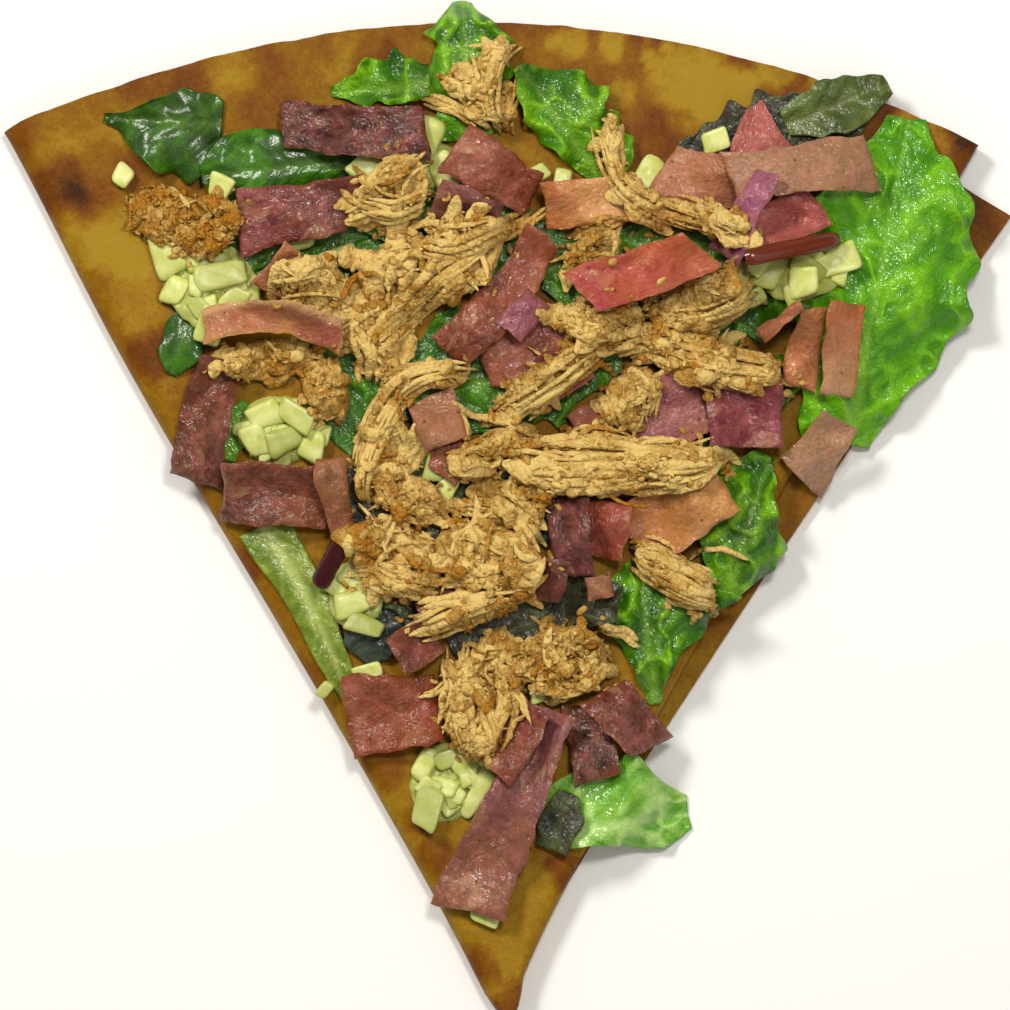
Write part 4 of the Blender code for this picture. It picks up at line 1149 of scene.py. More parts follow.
LEAVES = (
    Leaf(
        "spinach_left", TENDER, (-56.6, 76), (-80.6, 77.8), (7, 11, 11.5, 10.5, 8, 3, 1),
        (5, 6.5, 6.5, 5.5, 3, 1, 0.7), lift=3.0, frill=2.2, waves=1.8, lobes=0.04, blister=0.08,
    ),
    Leaf(
        "spinach_inner", GLOSSY, (-28.6, 69), (-61, 66), (3, 3, 3.5, 7, 9, 8, 1.5),
        (3, 3, 4, 7.5, 9, 8, 1.5), lift=2.5, frill=1.2, waves=1.0, lobes=0.03, blister=0.06,
    ),
    Leaf(
        "leaf_left_small", GLOSSY, (-62, 40), (-67, 26), (3, 4, 4.5, 4, 1), (2, 4, 4.5, 4, 1), lift=1.4,
        frill=0.8, waves=1.0, lobes=0.05, blister=0.05,
    ),
    Leaf(
        "lettuce_stalk", STALK, (-48.6, -4), (-31, -40), (5.5, 5, 4.5, 4, 3.5, 3, 0.8),
        (5.5, 5, 4.5, 4, 3.5, 3, 0.8), bow=1.5, frill=0.4, waves=1.0, lobes=0.03, blister=0.2,
    ),
    Leaf(
        "oak_leaf_right", OAK, (33.4, 66), (74, 83), (2, 7, 8, 8, 6, 5.5, 3), (5, 8, 9, 10, 10, 8, 3),
        frill=1.0, waves=3.5, lobes=0.14, blister=0.5,
    ),
    Leaf(
        "lettuce_right", FRESH, (69, 12), (80.5, 76.5), (9.5, 12, 15, 16, 17, 13, 4),
        (4.5, 9, 15, 19, 19, 14.5, 3), lift=4.0, frill=3.2, waves=3.0, reach=5, lobes=0.07, lobe_mm=12.0,
        blister=0.7,
    ),
    Leaf(
        "lettuce_top", LUSH, (-7, 73), (-8.6, 100.6), (5, 7, 8, 8, 8.5, 7, 1.5), (4, 7, 8, 9, 9, 6, 1.5),
        lift=2.5, frill=2.2, waves=2.5, lobes=0.25,
    ),
    Leaf(
        "lettuce_top_left", LUSH, (-15, 84), (-35, 82.6), (3, 4, 4, 3.5, 3, 2, 1),
        (5, 8, 8, 6.5, 4.5, 3, 1), lift=2.0, frill=2.2, waves=3.0, lobes=0.25,
    ),
    Leaf(
        "lettuce_top_middle", LUSH, (19.4, 65.4), (3, 87.4), (1, 3.5, 5, 6, 6, 4, 1.5),
        (2, 7, 10, 11, 10, 6, 2), lift=3.0, frill=1.8, waves=2.5, lobes=0.16,
    ),
    Leaf(
        "lettuce_middle_right", LUSH, (44, -19), (53, 10), (2, 5, 8, 10, 12, 9, 2.5),
        (2, 5.5, 8, 7, 5, 3, 1), lift=4.0, frill=2.4, waves=2.6, lobes=0.16, blister=1.1,
    ),
    Leaf(
        "lettuce_lower_right", LUSH, (30, -40), (27, -11), (1, 3, 4.5, 8, 10.5, 8, 3),
        (1, 3.5, 6, 11, 17, 13, 5), lift=3.5, frill=2.4, waves=2.4, lobes=0.16, blister=1.1,
    ),
    Leaf(
        "oak_leaf_left", BLUE, (-30, -30), (-20, -19), (3, 5, 6, 5, 2), (3, 5, 6, 5, 2), frill=0.8,
        waves=1.5, lobes=0.12,
    ),
    Leaf(
        "lettuce_bottom", PALE, (8.6, -66), (37, -62), (9, 12.5, 12.5, 13, 13, 8, 3),
        (2.5, 3.5, 4, 4.5, 6, 6, 3), lift=3.0, frill=1.4, waves=1.5, reach=5, lobes=0.08, blister=0.7,
    ),
)

# Leaf scraps that show between the toppings, and the bed that fills the space between the leaves.
SCRAPS = (
    Leaf(
        "oak_leaf_tip", OLIVE, (56, 76), (76, 84), (3, 5, 5, 4, 2), (2, 5, 6, 5, 2), lift=0.8, frill=0.8,
        waves=2, blister=0.5, is_node=False,
    ),
) + tuple(
    Leaf(name, finish, base, tip, *widths, lift=lift, frill=frill, waves=waves, is_node=False)
    for name, finish, base, tip, widths, lift, frill, waves in (
        ("scrap_left", FRESH, (-56, 9), (-52, 21), ((2, 3, 3, 1), (2, 3, 3, 1)), 0.6, 0.5, 1),
        ("scrap_upper_left", FRESH, (-62, 37), (-59, 45), ((2, 2.5, 2, 1), (2, 2.5, 2, 1)), 0.6, 0.5, 1),
        ("scrap_top", FRESH, (22, 65), (25, 74), ((2, 2.5, 2, 1), (1, 2, 2, 1)), 1.0, 0.6, 1),
        ("bed_upper_left", SHADED, (-56, 50), (-18, 56), ((4, 9, 9, 3), (4, 9, 9, 3)), 0.6, 0.6, 2),
        ("bed_upper", SHADED, (-32, 64), (10, 50), ((5, 12, 12, 4), (5, 12, 12, 3)), 0.6, 0.6, 2),
        ("bed_left", SHADED, (-40, 44), (-26, 8), ((5, 9, 9, 4), (3, 6, 7, 3)), 0.6, 0.6, 2),
        ("bed_middle", SHADED, (-26, 22), (24, 30), ((6, 15, 14, 4), (5, 12, 12, 3)), 0.6, 0.6, 2),
        ("bed_right", SHADED, (8, 48), (60, 40), ((5, 12, 12, 4), (5, 14, 13, 3)), 0.6, 0.6, 2),
        ("bed_far_right", SHADED, (24, 14), (58, 26), ((5, 8, 8, 4), (5, 10, 9, 3)), 0.6, 0.6, 2),
        ("bed_centre", OAK, (-34, 2), (22, 2), ((5, 9, 10, 4), (5, 12, 11, 3)), 0.6, 0.6, 2),
        ("bed_low", OAK, (-24, -16), (22, -20), ((5, 9, 9, 4), (5, 12, 10, 3)), 0.6, 0.6, 2),
        ("scrap_bottom", OAK, (9, -69), (13, -58), ((3, 4, 4, 2), (3, 4, 4, 2)), 0.6, 0.4, 1),
    )
)


@dataclass
class Salad:
    """All the leaves, the lowest first."""

    leaves: tuple[Leaf, ...] = LEAVES
    scraps: tuple[Leaf, ...] = SCRAPS

    def build(self, heights: Heights) -> None:
        """Lays the leaves on the crepe, then the scraps."""
        finishes = {leaf.finish for leaf in self.leaves + self.scraps}
        ordered = sorted(finishes, key=lambda finish: finish.name)
        materials = {finish.name: finish.material() for finish in ordered}
        for seed, leaf in enumerate(self.leaves + self.scraps):
            leaf.build(heights, seed, materials)


# Ham and stalks.


@dataclass(frozen=True)
class Slice:
    """A cut piece of ham, or a stalk: a strip about a straight or bowed middle line.

    Attributes:
        taper: Its width at the far end, as a share of that at the near end.
        skew: How far its long edges are shifted against each other.
        arch: How high its middle stands above its ends.
        curl: How high its long edges curl up.
        uneven: How far its corners shift, as a share of its width.
        fat_edge: How wide the fat along its left edge is, in mm.
    """

    name: str
    finish: HamFinish
    x: float
    y: float
    length: float
    width: float
    turn: float
    taper: float = 1.0
    skew: float = 0.0
    bow: float = 0.0
    arch: float = 0.0
    curl: float = 0.0
    uneven: float = 0.13
    fat_edge: float = 0.0
    reach: float = 3.0
    thick: float = 1.5
    slot: Slot = Slot.HAM_RED
    is_node: bool = True

    def shell(self, heights: Heights, seed: int) -> Shell:
        """The draped strip: u runs along it and v across it, both from -1 to 1.

        Args:
            heights: What lies there already.
            seed: The slice's number.

        Returns:
            The closed strip, with its place in mm and each point's distance from its edge.
        """
        rows, columns = max(10, int(self.length / 0.5)), max(8, int(self.width / 0.5))
        u, v = np.meshgrid(np.linspace(-1, 1, rows), np.linspace(-1, 1, columns), indexing="ij")
        half = self.width / 2 * (1 + (self.taper - 1) * (u + 1) / 2)
        run, side = self.length / 2 * u, half * v
        tear = 1.0 * fractal(stacked(run / 6, np.sign(v) * 5.0, 0.0), seed, 4) * np.abs(v) ** 3
        chop = 1.0 * fractal(stacked(side / 6, np.sign(u) * 5.0, 3.0), seed, 4) * np.abs(u) ** 5
        run = run + chop + self.skew * v
        side = side + tear + self.bow * (1 - u * u)
        shift = np.random.default_rng(1000 + seed).uniform(-self.uneven, self.uneven, (2, 2, 2)) * self.width
        for end, edge in ((0, 0), (0, 1), (1, 0), (1, 1)):
            near = (1 + (2 * end - 1) * u) * (1 + (2 * edge - 1) * v) / 4
            run = run + near * shift[end, edge, 0]
            side = side + near * shift[end, edge, 1]
        rise = self.arch * (1 - u * u) + self.curl * v * v + 0.5 * (1 + np.sin(3 * u + 2 * v + seed))
        rise = rise + 0.35 * fractal(stacked(run / 5, side / 4, 7.0), seed, 2)
        away = np.minimum(self.length / 2 * (1 - np.abs(u)), half * (1 - np.abs(v)))
        thick = self.thick * (0.72 + 0.28 * smoothstep(0, 0.8, away))
        thick = thick + 0.18 * noise(stacked(run / 2, side / 2, 4.0), seed)
        x, y = turned(run, side, self.turn)
        shell = blanket(heights, x + self.x, y + self.y, rise, thick, self.reach)
        rim = half * (1 - v) + 0.6 * noise(stacked(run / 3, side / 3, 9.0), seed)
        fat = 0 * rim
        if self.fat_edge:
            fat = 0.9 * smoothstep(1.3 * self.fat_edge + 0.1, 0.7 * self.fat_edge, rim)
        shell.values = {"run": both((u + 1) / 2), "edge": both(away), "fat": both(fat)}
        shell.uv = np.tile(np.stack([run, side], axis=-1).reshape(-1, 2), (2, 1))
        return shell

    def build(self, heights: Heights, seed: int) -> None:
        """Makes the slice and lays it down."""
        shell = self.shell(heights, seed)
        stands_for = (self.name,) if self.is_node else ()
        piece_of(self.name + "_slice", shell, self.finish.material(self.name), stands_for, 55)
        heights.stamp(shell)


def ham(
    lean: str, far: str = "", seared: str = "#8a4a24", searing: float = 0.5, **more: float
) -> HamFinish:
    """A ham finish from its colour at the near end, at the far end and where it browned."""
    return HamFinish(lean, far or lean, seared, searing=searing, **more)


LOWER_HAM = (
    Slice(
        "ham_top_left", ham("#300818", "#440c0c", "#742808", fattiness=0.2), -30, 75.2, 29, 10.5, -4, 0.85,
        -1, 0, 1.5, 0.5,
    ),
    Slice(
        "ham_left_upper", ham("#742c38", "#4c1814", "#843c1c", 0.6, fattiness=0.5), -41.6, 59, 23.5, 11, 13,
        0.95, 2.0, 0, 1.0, 0.3,
    ),
    Slice(
        "ham_top_middle", ham("#8c4a34", "#78301c", "#702c12", 0.8), -2, 67, 20, 11.5, -30, 0.9, 0, 0, 1.5,
        0.6,
    ),
    Slice("ham_right_tip", ham("#b8605a", "#a85050"), 51, 73.6, 12, 16, 95, 0.2, 0, 0, 0.6),
    Slice(
        "ham_right_back", ham("#b47858", "#a86840"), 43, 64.2, 22, 11, -14, 0.8, 2, 0, 1.0, 0.3, slot=TAN,
    ),
    Slice("ham_right_red", ham("#ac5854", "#a44c4c"), 56.4, 56.0, 14.5, 11, 24, 0.9, 0, 0, 1.0, 0.3),
    Slice(
        "ham_right_long", ham("#a07058", "#98704e", "#8c5c2c", 0.4), 59, 67.4, 28, 10.5, 5, 1.0, -1, 0, 1.5,
        0.4, slot=TAN,
    ),
    Slice("ham_right_fold", ham("#8c4c74", "#98506c"), 48, 58, 18.5, 8.5, 62, 0.75, 0, 0, 1.5, 0.8),
    Slice("ham_right_pink", ham("#c0744a", "#b87844"), 60.4, 31, 15, 7.5, 82, 0.95, 0, 0, 0.8, slot=TAN),
    Slice("ham_right_edge", ham("#c89864", "#c4642c"), 67.2, 31, 17.5, 7.5, 81, 1.0, 0, 0, 0.6, slot=TAN),
    Slice(
        "ham_right_pale", ham("#a88060", "#b48a64"), 63.4, 10.6, 14, 10, 56, 0.85, 0, 0, 1.0, 0.3, slot=TAN,
    ),
    Slice("ham_right_lilac", ham("#94545c", "#8c4c50"), 33.5, 19.4, 16, 15, 20, 0.9, 0, 0, 1.5, 0.3),
    Slice(
        "ham_right_square", ham("#742838", "#7c2c40", "#5a1c20", 0.4), 48.5, 18.4, 14, 16, 3, 1.0, 0, 0,
        2.0, 0.3,
    ),
    Slice(
        "ham_lower_tan", ham("#b8743c", "#cc9450"), 33.4, -1.4, 22, 13, 30, 0.85, 0, 0, 1.5, 0.6, slot=TAN,
    ),
    Slice("ham_lower_red", ham("#86322a", "#8c3a28"), 19.8, -5, 11, 9, 85, 0.95, 0, 0, 1.2),
    Slice(
        "ham_lower_dark", ham("#643038", "#38141a", "#2c1014", 0.5), 12.8, -6.2, 17, 8.5, 95, 0.9, 0, 0,
        1.5, 0.8,
    ),
    Slice(
        "ham_left_flat", ham("#541c14", "#643018", "#481408", 0.5, fattiness=0.3), -58.8, 16.4, 24, 10, 76,
        0.9, 0, 1.2, 1.0, 0.5,
    ),
    Slice("ham_left_band", ham("#582420", "#6c341e", "#7c401c", 0.8), -46, 1.8, 24, 13, 0, 1.0, 0, 0, 2.5),
    Slice("ham_left_curl", ham("#8c5c38", "#844a2c"), -32.4, 0.4, 20, 6, -76, 0.9, 0, -1.5, 1.0, slot=TAN),
    Slice(
        "ham_bottom_left", ham("#8c4830", "#82361a", "#782802", 0.9), -21.4, -41.4, 19, 15.5, 10, 1.0, 0, 0,
        1.0, 0.4,
    ),
    Slice(
        "ham_bottom_middle", ham("#340c0a", "#40120c", fattiness=0.2), 17.2, -46.8, 15.5, 9, 100, 0.9, 0, 0,
        1.2,
    ),
    Slice("ham_bottom_right", ham("#5c2016", "#5c221a"), 24.4, -42.4, 15.5, 10, -56, 1.0, 0, 0, 1.0, 0.3),
    Slice(
        "ham_bottom_long", ham("#7c4854", "#865038", "#703c24", 0.4), 0.6, -61.2, 43, 9.5, -113, 1.65, -1.5,
        0, 2.0, 0.3,
    ),
)

MIDDLE_HAM = (
    Slice(
        "ham_centre_tan", ham("#b86c34", "#e8b478", "#b06828"), 17, 60, 20, 10.5, 6, 0.9, 0, 0, 3.0,
        slot=TAN,
    ),
    Slice("ham_centre_low", ham("#94503c", "#8c4a3c"), 5.8, 31, 23, 12, 10, 0.9, 0, 0, 1.0),
    Slice("ham_centre_strip", ham("#64261a", "#904a30"), -1.6, 42.4, 30, 8.5, 50, 1.0, 0, -2.0, 1.5),
)

UPPER_HAM = (
    Slice(
        "ham_left_arch", ham("#a8643c", "#984c3c", "#d0a050", 0.7), -47.4, 34.2, 27, 7.5, -3, 1.0, 0, 3.5,
        2.0, slot=TAN, fat_edge=1.6,
    ),
    Slice(
        "ham_centre_red", ham("#ac3a40", "#b4583a", "#b46c2c"), 27, 46.6, 25, 12.5, 21, 0.8, -2, 0, 1.5,
        0.3,
    ),
)

# Small ham scraps that show between the toppings.
HAM_SCRAPS = tuple(
    Slice("ham_scrap_" + name, ham(near, far), *place, is_node=False)
    for name, near, far, *place in (
        ("top", "#7d4a45", "#54283a", -7.5, 59, 14, 7, -20, 0.9),
        ("mauve", "#8a4a60", "#8a4a60", 4.5, 38, 8, 6.5, 50, 0.9),
        ("middle", "#a5604e", "#a5604e", 17.5, 17.5, 9, 8, 40, 0.9),
        ("lower", "#9a6a4c", "#9a6a4c", 19, -16.5, 6, 4.5, 10, 0.9),
        ("left", "#5c2420", "#6a3028", -18, -28, 9, 8, 30, 0.9),
        ("pink", "#b87850", "#a86a44", -42, 46, 14, 10, -35, 0.9),
        ("gap", "#94505c", "#8c4450", 11, 26, 12, 9, 30, 0.9),
        ("hole", "#84482c", "#7a3c24", -11, 10, 10, 8, 60, 0.9),
        ("dark", "#5c2428", "#3a141a", 6, -14, 12, 9, -20, 0.9),
        ("low", "#70341c", "#5c2818", -12, -17, 12, 8, 20, 0.9),
        ("right", "#9c5c48", "#8c4c44", 40, 42, 12, 9, -10, 0.9),
        ("bottom", "#7a3420", "#5a2420", 2, -46, 15, 10, 60, 0.8),
    )
) + (
    Slice(
        "ham_sliver", ham("#c07a56", "#b06a48"), 54.8, 37, 10.5, 2.4, 38, 0.9, thick=1.4,
        is_node=False,
    ),
)
HAM_DISC = Slice("ham_scrap_disc", ham("#9a6a4c", "#a06e50"), -13.8, 16.8, 11, 9, 20, 0.9, is_node=False)


@dataclass(frozen=True)
class Stalk:
    """A leaf stalk: a round, flattened rod along a strip's middle line."""

    strip: Slice
    finish: StemFinish

    def build(self, heights: Heights) -> None:
        """Carries a flattened ring along the strip's middle line: radius falls off at the ends."""
        strip = self.strip
        t = np.linspace(-1, 1, 40)
        x, y = turned(strip.length / 2 * t, strip.bow * (1 - t * t), strip.turn)
        z = heights.at(heights.drape(strip.reach), x + strip.x, y + strip.y) + GAP + strip.thick / 2
        z = np.full(len(t), 1.0) * np.polyval(np.polyfit(t, z, 2), t)
        middle = stacked(x + strip.x, y + strip.y, z)
        radius = strip.width / 2 * (1 - 0.25 * smoothstep(0.86, 1, np.abs(t)))
        flatness = strip.thick / strip.width
        shell = rods(middle[None], radius[None], flatness, 14, (0.03, 0.05, 0.0), 40)
        shell.uv = np.stack(
            [np.repeat(strip.length / 2 * t, 14), np.tile(np.arange(14) * 0.8, len(t))], axis=-1
        )
        piece_of(strip.name + "_stalk", shell, self.finish.material(), (strip.name,), 60)
        heights.stamp(shell)


STALKS = (
    Stalk(
        Slice("stem_beet", HamFinish(), -34.4, -10.8, 12, 4, 62, thick=3.0, reach=2.0),
        StemFinish("red_stalk", "#4a0c18", "#2c060c"),
    ),
    Stalk(
        Slice("stem_chard", HamFinish(), 57, 51, 19, 3.6, 12, thick=2.4, reach=2.0),
        StemFinish("brown_stalk", "#7a3018", "#4f1c0e"),
    ),
)


def rods(
    middle: Array,
    radius: Array,
    flatness: float,
    sides: int,
    rough: tuple[float, float, float],
    seed: int,
) -> Shell:
    """Rings carried along paths: a closed rod for each path.

    A ring lies in the plane of the level line square to the path and the line square to both.
    The surface moves in and out by three noises: of 0.9 mm, of 2.6 mm, and of ridges that run
    along the rod.

    Args:
        middle: Paths, as rods by rings by x, y, z.
        radius: Each ring's radius, rods by rings.
        flatness: Height of a ring as a share of its width.
        sides: Points round a ring.
        rough: How far each noise moves the surface, as a share of the radius.
        seed: Another number gives other noise.

    Returns:
        The rods, with a painted shade value for each point, higher where the surface sinks in.
    """
    count, rings = radius.shape
    way = np.gradient(middle, axis=1)
    way /= np.linalg.norm(way, axis=-1, keepdims=True) + 1e-9
    level = np.stack([-way[..., 1], way[..., 0], 0 * way[..., 0]], axis=-1)
    level /= np.linalg.norm(level, axis=-1, keepdims=True) + 1e-9
    upward = np.cross(way, level)
    around = 2 * np.pi * np.arange(sides) / sides
    spoke = level[:, :, None] * np.cos(around)[:, None]
    spoke = spoke + upward[:, :, None] * np.sin(around)[:, None] * flatness
    points = middle[:, :, None] + radius[:, :, None, None] * spoke
    run = np.linalg.norm(np.diff(middle, axis=1, prepend=middle[:, :1]), axis=-1).cumsum(axis=1)
    across = radius[:, :, None] * np.cos(around) * 2.0
    own = np.arange(count)[:, None, None] * 7.3
    ridge = noise(stacked(run[:, :, None] / 5 + 0 * across, across, own), seed)
    grain, lump = noise(points / 0.9, seed), noise(points / 2.6, seed + 1)
    swell = rough[0] * grain + rough[1] * lump + rough[2] * ridge
    points = points + swell[..., None] * radius[:, :, None, None] * spoke
    faces = grid_faces(rings, sides, wrap=True)
    fan = np.arange(1, sides - 1)
    last = (rings - 1) * sides
    caps = np.stack([0 * fan, fan + 1, fan], axis=-1)
    ends = np.stack([last + 0 * fan, last + fan, last + fan + 1], axis=-1)
    one = np.concatenate([faces, caps, ends])
    starts = np.arange(count)[:, None, None] * rings * sides
    shell = Shell(points.reshape(-1, 3), (one[None] + starts).reshape(-1, 3))
    # Painted shade value: higher where the surface is pushed in.
    shell.values["pit"] = -(swell / (sum(rough) * 0.6)).reshape(-1)
    return shell


@dataclass
class Ham:
    """The slices of ham and the two stalks among them, the lowest first."""

    lower: tuple[Slice, ...] = LOWER_HAM
    middle: tuple[Slice, ...] = MIDDLE_HAM
    upper: tuple[Slice, ...] = UPPER_HAM
    scraps: tuple[Slice, ...] = HAM_SCRAPS
    stalks: tuple[Stalk, ...] = STALKS

    def build_lower(self, heights: Heights) -> None:
        """Lays what lies under the chicken."""
        for seed, piece in enumerate(self.lower):
            piece.build(heights, seed)
        for stalk in self.stalks:
            stalk.build(heights)
        for seed, piece in enumerate(self.middle + self.scraps):
            piece.build(heights, seed + 40)

    def build_upper(self, heights: Heights) -> None:
        """Lays what lies on the chicken."""
        for seed, piece in enumerate(self.upper):
            piece.build(heights, seed + 80)


# Cheese.


@dataclass(frozen=True)
class Lump:
    """An elliptical dome: middle, length, width, turn and height."""

    x: float
    y: float
    length: float
    width: float
    turn: float
    height: float

    def spot(self, share: Array | float, angle: Array | float) -> tuple[Array, Array]:
        """The place at a share of the length and width from the middle, angle radians round."""
        x, y = turned(
            share * self.length * np.cos(angle), share * self.width * np.sin(angle), self.turn
        )
        return x + self.x, y + self.y

    def area(self) -> float:
        """The ellipse's area in square mm."""
        return math.pi / 4 * self.length * self.width


@dataclass(frozen=True)
class Dice:
    """Cut cheese: blocks of x, y, length, width, turn and height on a shallow base."""

    name: str
    base: Lump | None
    blocks: tuple[tuple[float, float, float, float, float, float], ...]
    fill: int = 8


CHEESE = (
    Dice(
        "cheese_left", Lump(-59, 44, 19, 17, -20, 2.0),
        (
            (-68, 50.5, 10, 6, -65, 4.5), (-61, 50, 7, 5, 30, 4.0), (-57, 46, 11, 5.5, 10, 4.5),
            (-66, 43, 6, 4.5, 60, 3.5), (-55, 40, 9, 5, 50, 4.0), (-59, 36, 8, 5.5, 75, 4.0),
            (-51, 42, 8, 4, 75, 3.5),
        ),
    ),
    Dice(
        "cheese_left_middle", Lump(-45, 15, 17, 14, -10, 3.0),
        (
            (-48, 18, 7, 5, 20, 4.0), (-42, 18, 8, 4.5, -35, 5.0), (-50, 13, 7, 5, -60, 3.5),
            (-44, 13, 8, 5, 25, 4.5), (-38.5, 12, 7, 5, 70, 4.0),
        ),
        12,
    ),
    Dice(
        "cheese_lower_left", Lump(-30, -18, 11, 14, 0, 2.5),
        ((-29, -13.5, 8, 6, 60, 4.5), (-30, -19.5, 9, 5, 15, 5.0), (-28, -24.0, 8, 4, -20, 3.5)), 5,
    ),
    Dice(
        "cheese_bottom", Lump(-11, -56, 17, 14, 40, 1.5),
        (
            (-16, -52, 7, 4, 60, 3.5), (-10.5, -50.5, 8, 3.6, 20, 3.0), (-15.5, -60.5, 9, 5.6, 75, 4.0),
            (-5.5, -58, 11, 3.8, 60, 3.5), (-8, -53.5, 7, 3.4, -50, 3.0), (-4.5, -50.5, 6, 3, -55, 3.0),
        ),
        16,
    ),
    Dice(
        "cheese_top", Lump(-18, 68, 20, 13, -10, 2.5),
        (
            (-27, 67, 8, 6, -30, 4.0), (-15.5, 73, 9, 5.5, 75, 5.0), (-12, 66, 9, 5.5, -65, 5.0),
            (-20, 66, 7, 5, 20, 4.0),
        ),
    ),
    Dice(
        "cheese_right", Lump(60, 46.5, 17, 11, 20, 1.5),
        ((66, 48.5, 10, 5, 25, 4.0), (59.5, 44.5, 6, 6, 10, 4.5), (53, 46.5, 7, 5, 60, 4.0)), 4,
    ),
)

# Single cheese pieces that show between the toppings.
LOOSE_CHEESE = Dice(
    "cheese_loose", None,
    (
        (-41, 53, 6, 4, 20, 3.0), (-37, 57, 5, 4, -40, 3.0), (-33, 50, 7, 3.5, 30, 3.0),
        (-5, 70, 6, 4, -20, 3.0), (47, 45, 8, 4.5, 75, 3.5), (51, 49, 7, 4, 60, 3.0),
        (44, 38, 6, 4, 40, 3.0), (-14, 8, 7, 4, 80, 3.0), (42.2, 73, 5.5, 4.5, 20, 2.5),
        (28.8, 66.5, 7, 5, 60, 3.0), (-57, 63.5, 5, 4.5, 70, 3.0), (7, -38, 4, 3, 20, 2.5),
        (6, 66, 6, 3.5, 30, 3.0), (11.5, 65, 5, 3.5, 80, 3.0), (-11.5, 4, 6, 4, 65, 3.5),
        (-4, -82, 6, 4, -20, 3.0), (-76.5, 66, 4.5, 4, 60, 3.0), (-27.5, -33.6, 6, 3.6, 20, 2.5),
        (-36, -37, 3.5, 2.5, 50, 2.5), (50, 41.5, 4.5, 3.5, 30, 3.0),
    ),
    0,
)


@dataclass
class Cheese:
    """The clusters of cut cheese: rounded blocks, softened and run together a little."""

    clusters: tuple[Dice, ...] = CHEESE
    loose: Dice = LOOSE_CHEESE
    squareness: float = 0.34
    rows: int = 15
    columns: int = 26

    def block(
        self, heights: Heights, rest: Array, block: tuple[float, ...], tone: float, seed: int
    ) -> Shell:
        """One rounded block: a sphere with its sines and cosines raised to a power under 1.

        Args:
            heights: What lies there already.
            rest: The raster that the block stands on.
            block: x, y, length, width, turn and height.
            tone: The block's own shade, 0 to 1.
            seed: Its number.

        Returns:
            The block, softened by noise and tipped a little.
        """
        x, y, length, width, turn, height = block
        up = np.linspace(0, np.pi, self.rows)[:, None]
        around = (2 * np.pi * np.arange(self.columns) / self.columns)[None, :]
        draw = np.random.default_rng(3000 + seed)
        power = self.squareness * draw.uniform(0.7, 1.5)
        ring = np.abs(np.sin(up))
        local_x = ring * np.sign(np.cos(around)) * np.abs(np.cos(around)) ** power
        local_y = ring * np.sign(np.sin(around)) * np.abs(np.sin(around)) ** power
        local_z = -np.sign(np.cos(up)) * np.maximum(1 - ring ** (2 / power), 0) ** (power / 2) + 0 * around
        points = stacked(local_x * length / 2, local_y * width / 2, local_z * height / 2)
        narrow, lean, thin = draw.uniform(-0.30, 0.30), draw.uniform(-0.35, 0.35), draw.uniform(-0.25, 0.25)
        points[..., 1] *= 1 + narrow * local_x
        points[..., 0] += lean * points[..., 1]
        points[..., 2] *= 1 + thin * local_x
        soft = 1 + 0.11 * noise(points / 2.6 + seed * 3.1, 5)[..., None]
        points = points * soft
        tip_x, tip_y = draw.uniform(-0.22, 0.22, 2)
        points[..., 2] += tip_x * points[..., 0] + tip_y * points[..., 1]
        points[..., 0], points[..., 1] = turned(points[..., 0], points[..., 1], turn)
        foot = heights.at(rest, np.array([x]), np.array([y]))[0]
        points += [x, y, foot + height / 2 - 0.4]
        faces = grid_faces(self.rows, self.columns, wrap=True)
        return Shell(points.reshape(-1, 3), faces, {"tone": np.full(points.size // 3, tone)})

    def build(self, heights: Heights) -> None:
        """Makes each cluster: small bits over its base, then its larger blocks."""
        material = CheeseFinish().material()
        for number, dice in enumerate(self.clusters + (self.loose,)):
            draw = np.random.default_rng(70 + number)
            rest = heights.drape(1.6)
            blocks = []
            for _ in range(dice.fill):
                share, angle = 0.46 * math.sqrt(draw.random()), 2 * math.pi * draw.random()
                x, y = dice.base.spot(share, angle)
                size = draw.uniform(2.6, 7.5)
                width = min(size * draw.uniform(0.4, 0.9), 4.2)
                blocks.append((x, y, size, width, draw.uniform(0, 180), draw.uniform(1.8, 3.4)))
            blocks += dice.blocks
            shells = [
                self.block(heights, rest, block, draw.random() ** 2, 10 * number + k)
                for k, block in enumerate(blocks)
            ]
            if dice.base:
                low = replace(dice.base, height=0.4 * dice.base.height)
                shells.insert(0, mound(heights, low, 0.6, 90 + number, 0.5))
                # The base under the blocks is painted toward the shade colour, darker than most blocks, as
                # painted shade.
                shells[0].values = {"tone": np.full(len(shells[0].points), 0.7)}
            shell = joined(shells)
            stands_for = (dice.name,) if dice.base else ()
            piece_of(dice.name + "_pieces", shell, material, stands_for)
            heights.stamp(shell)


# Chicken.


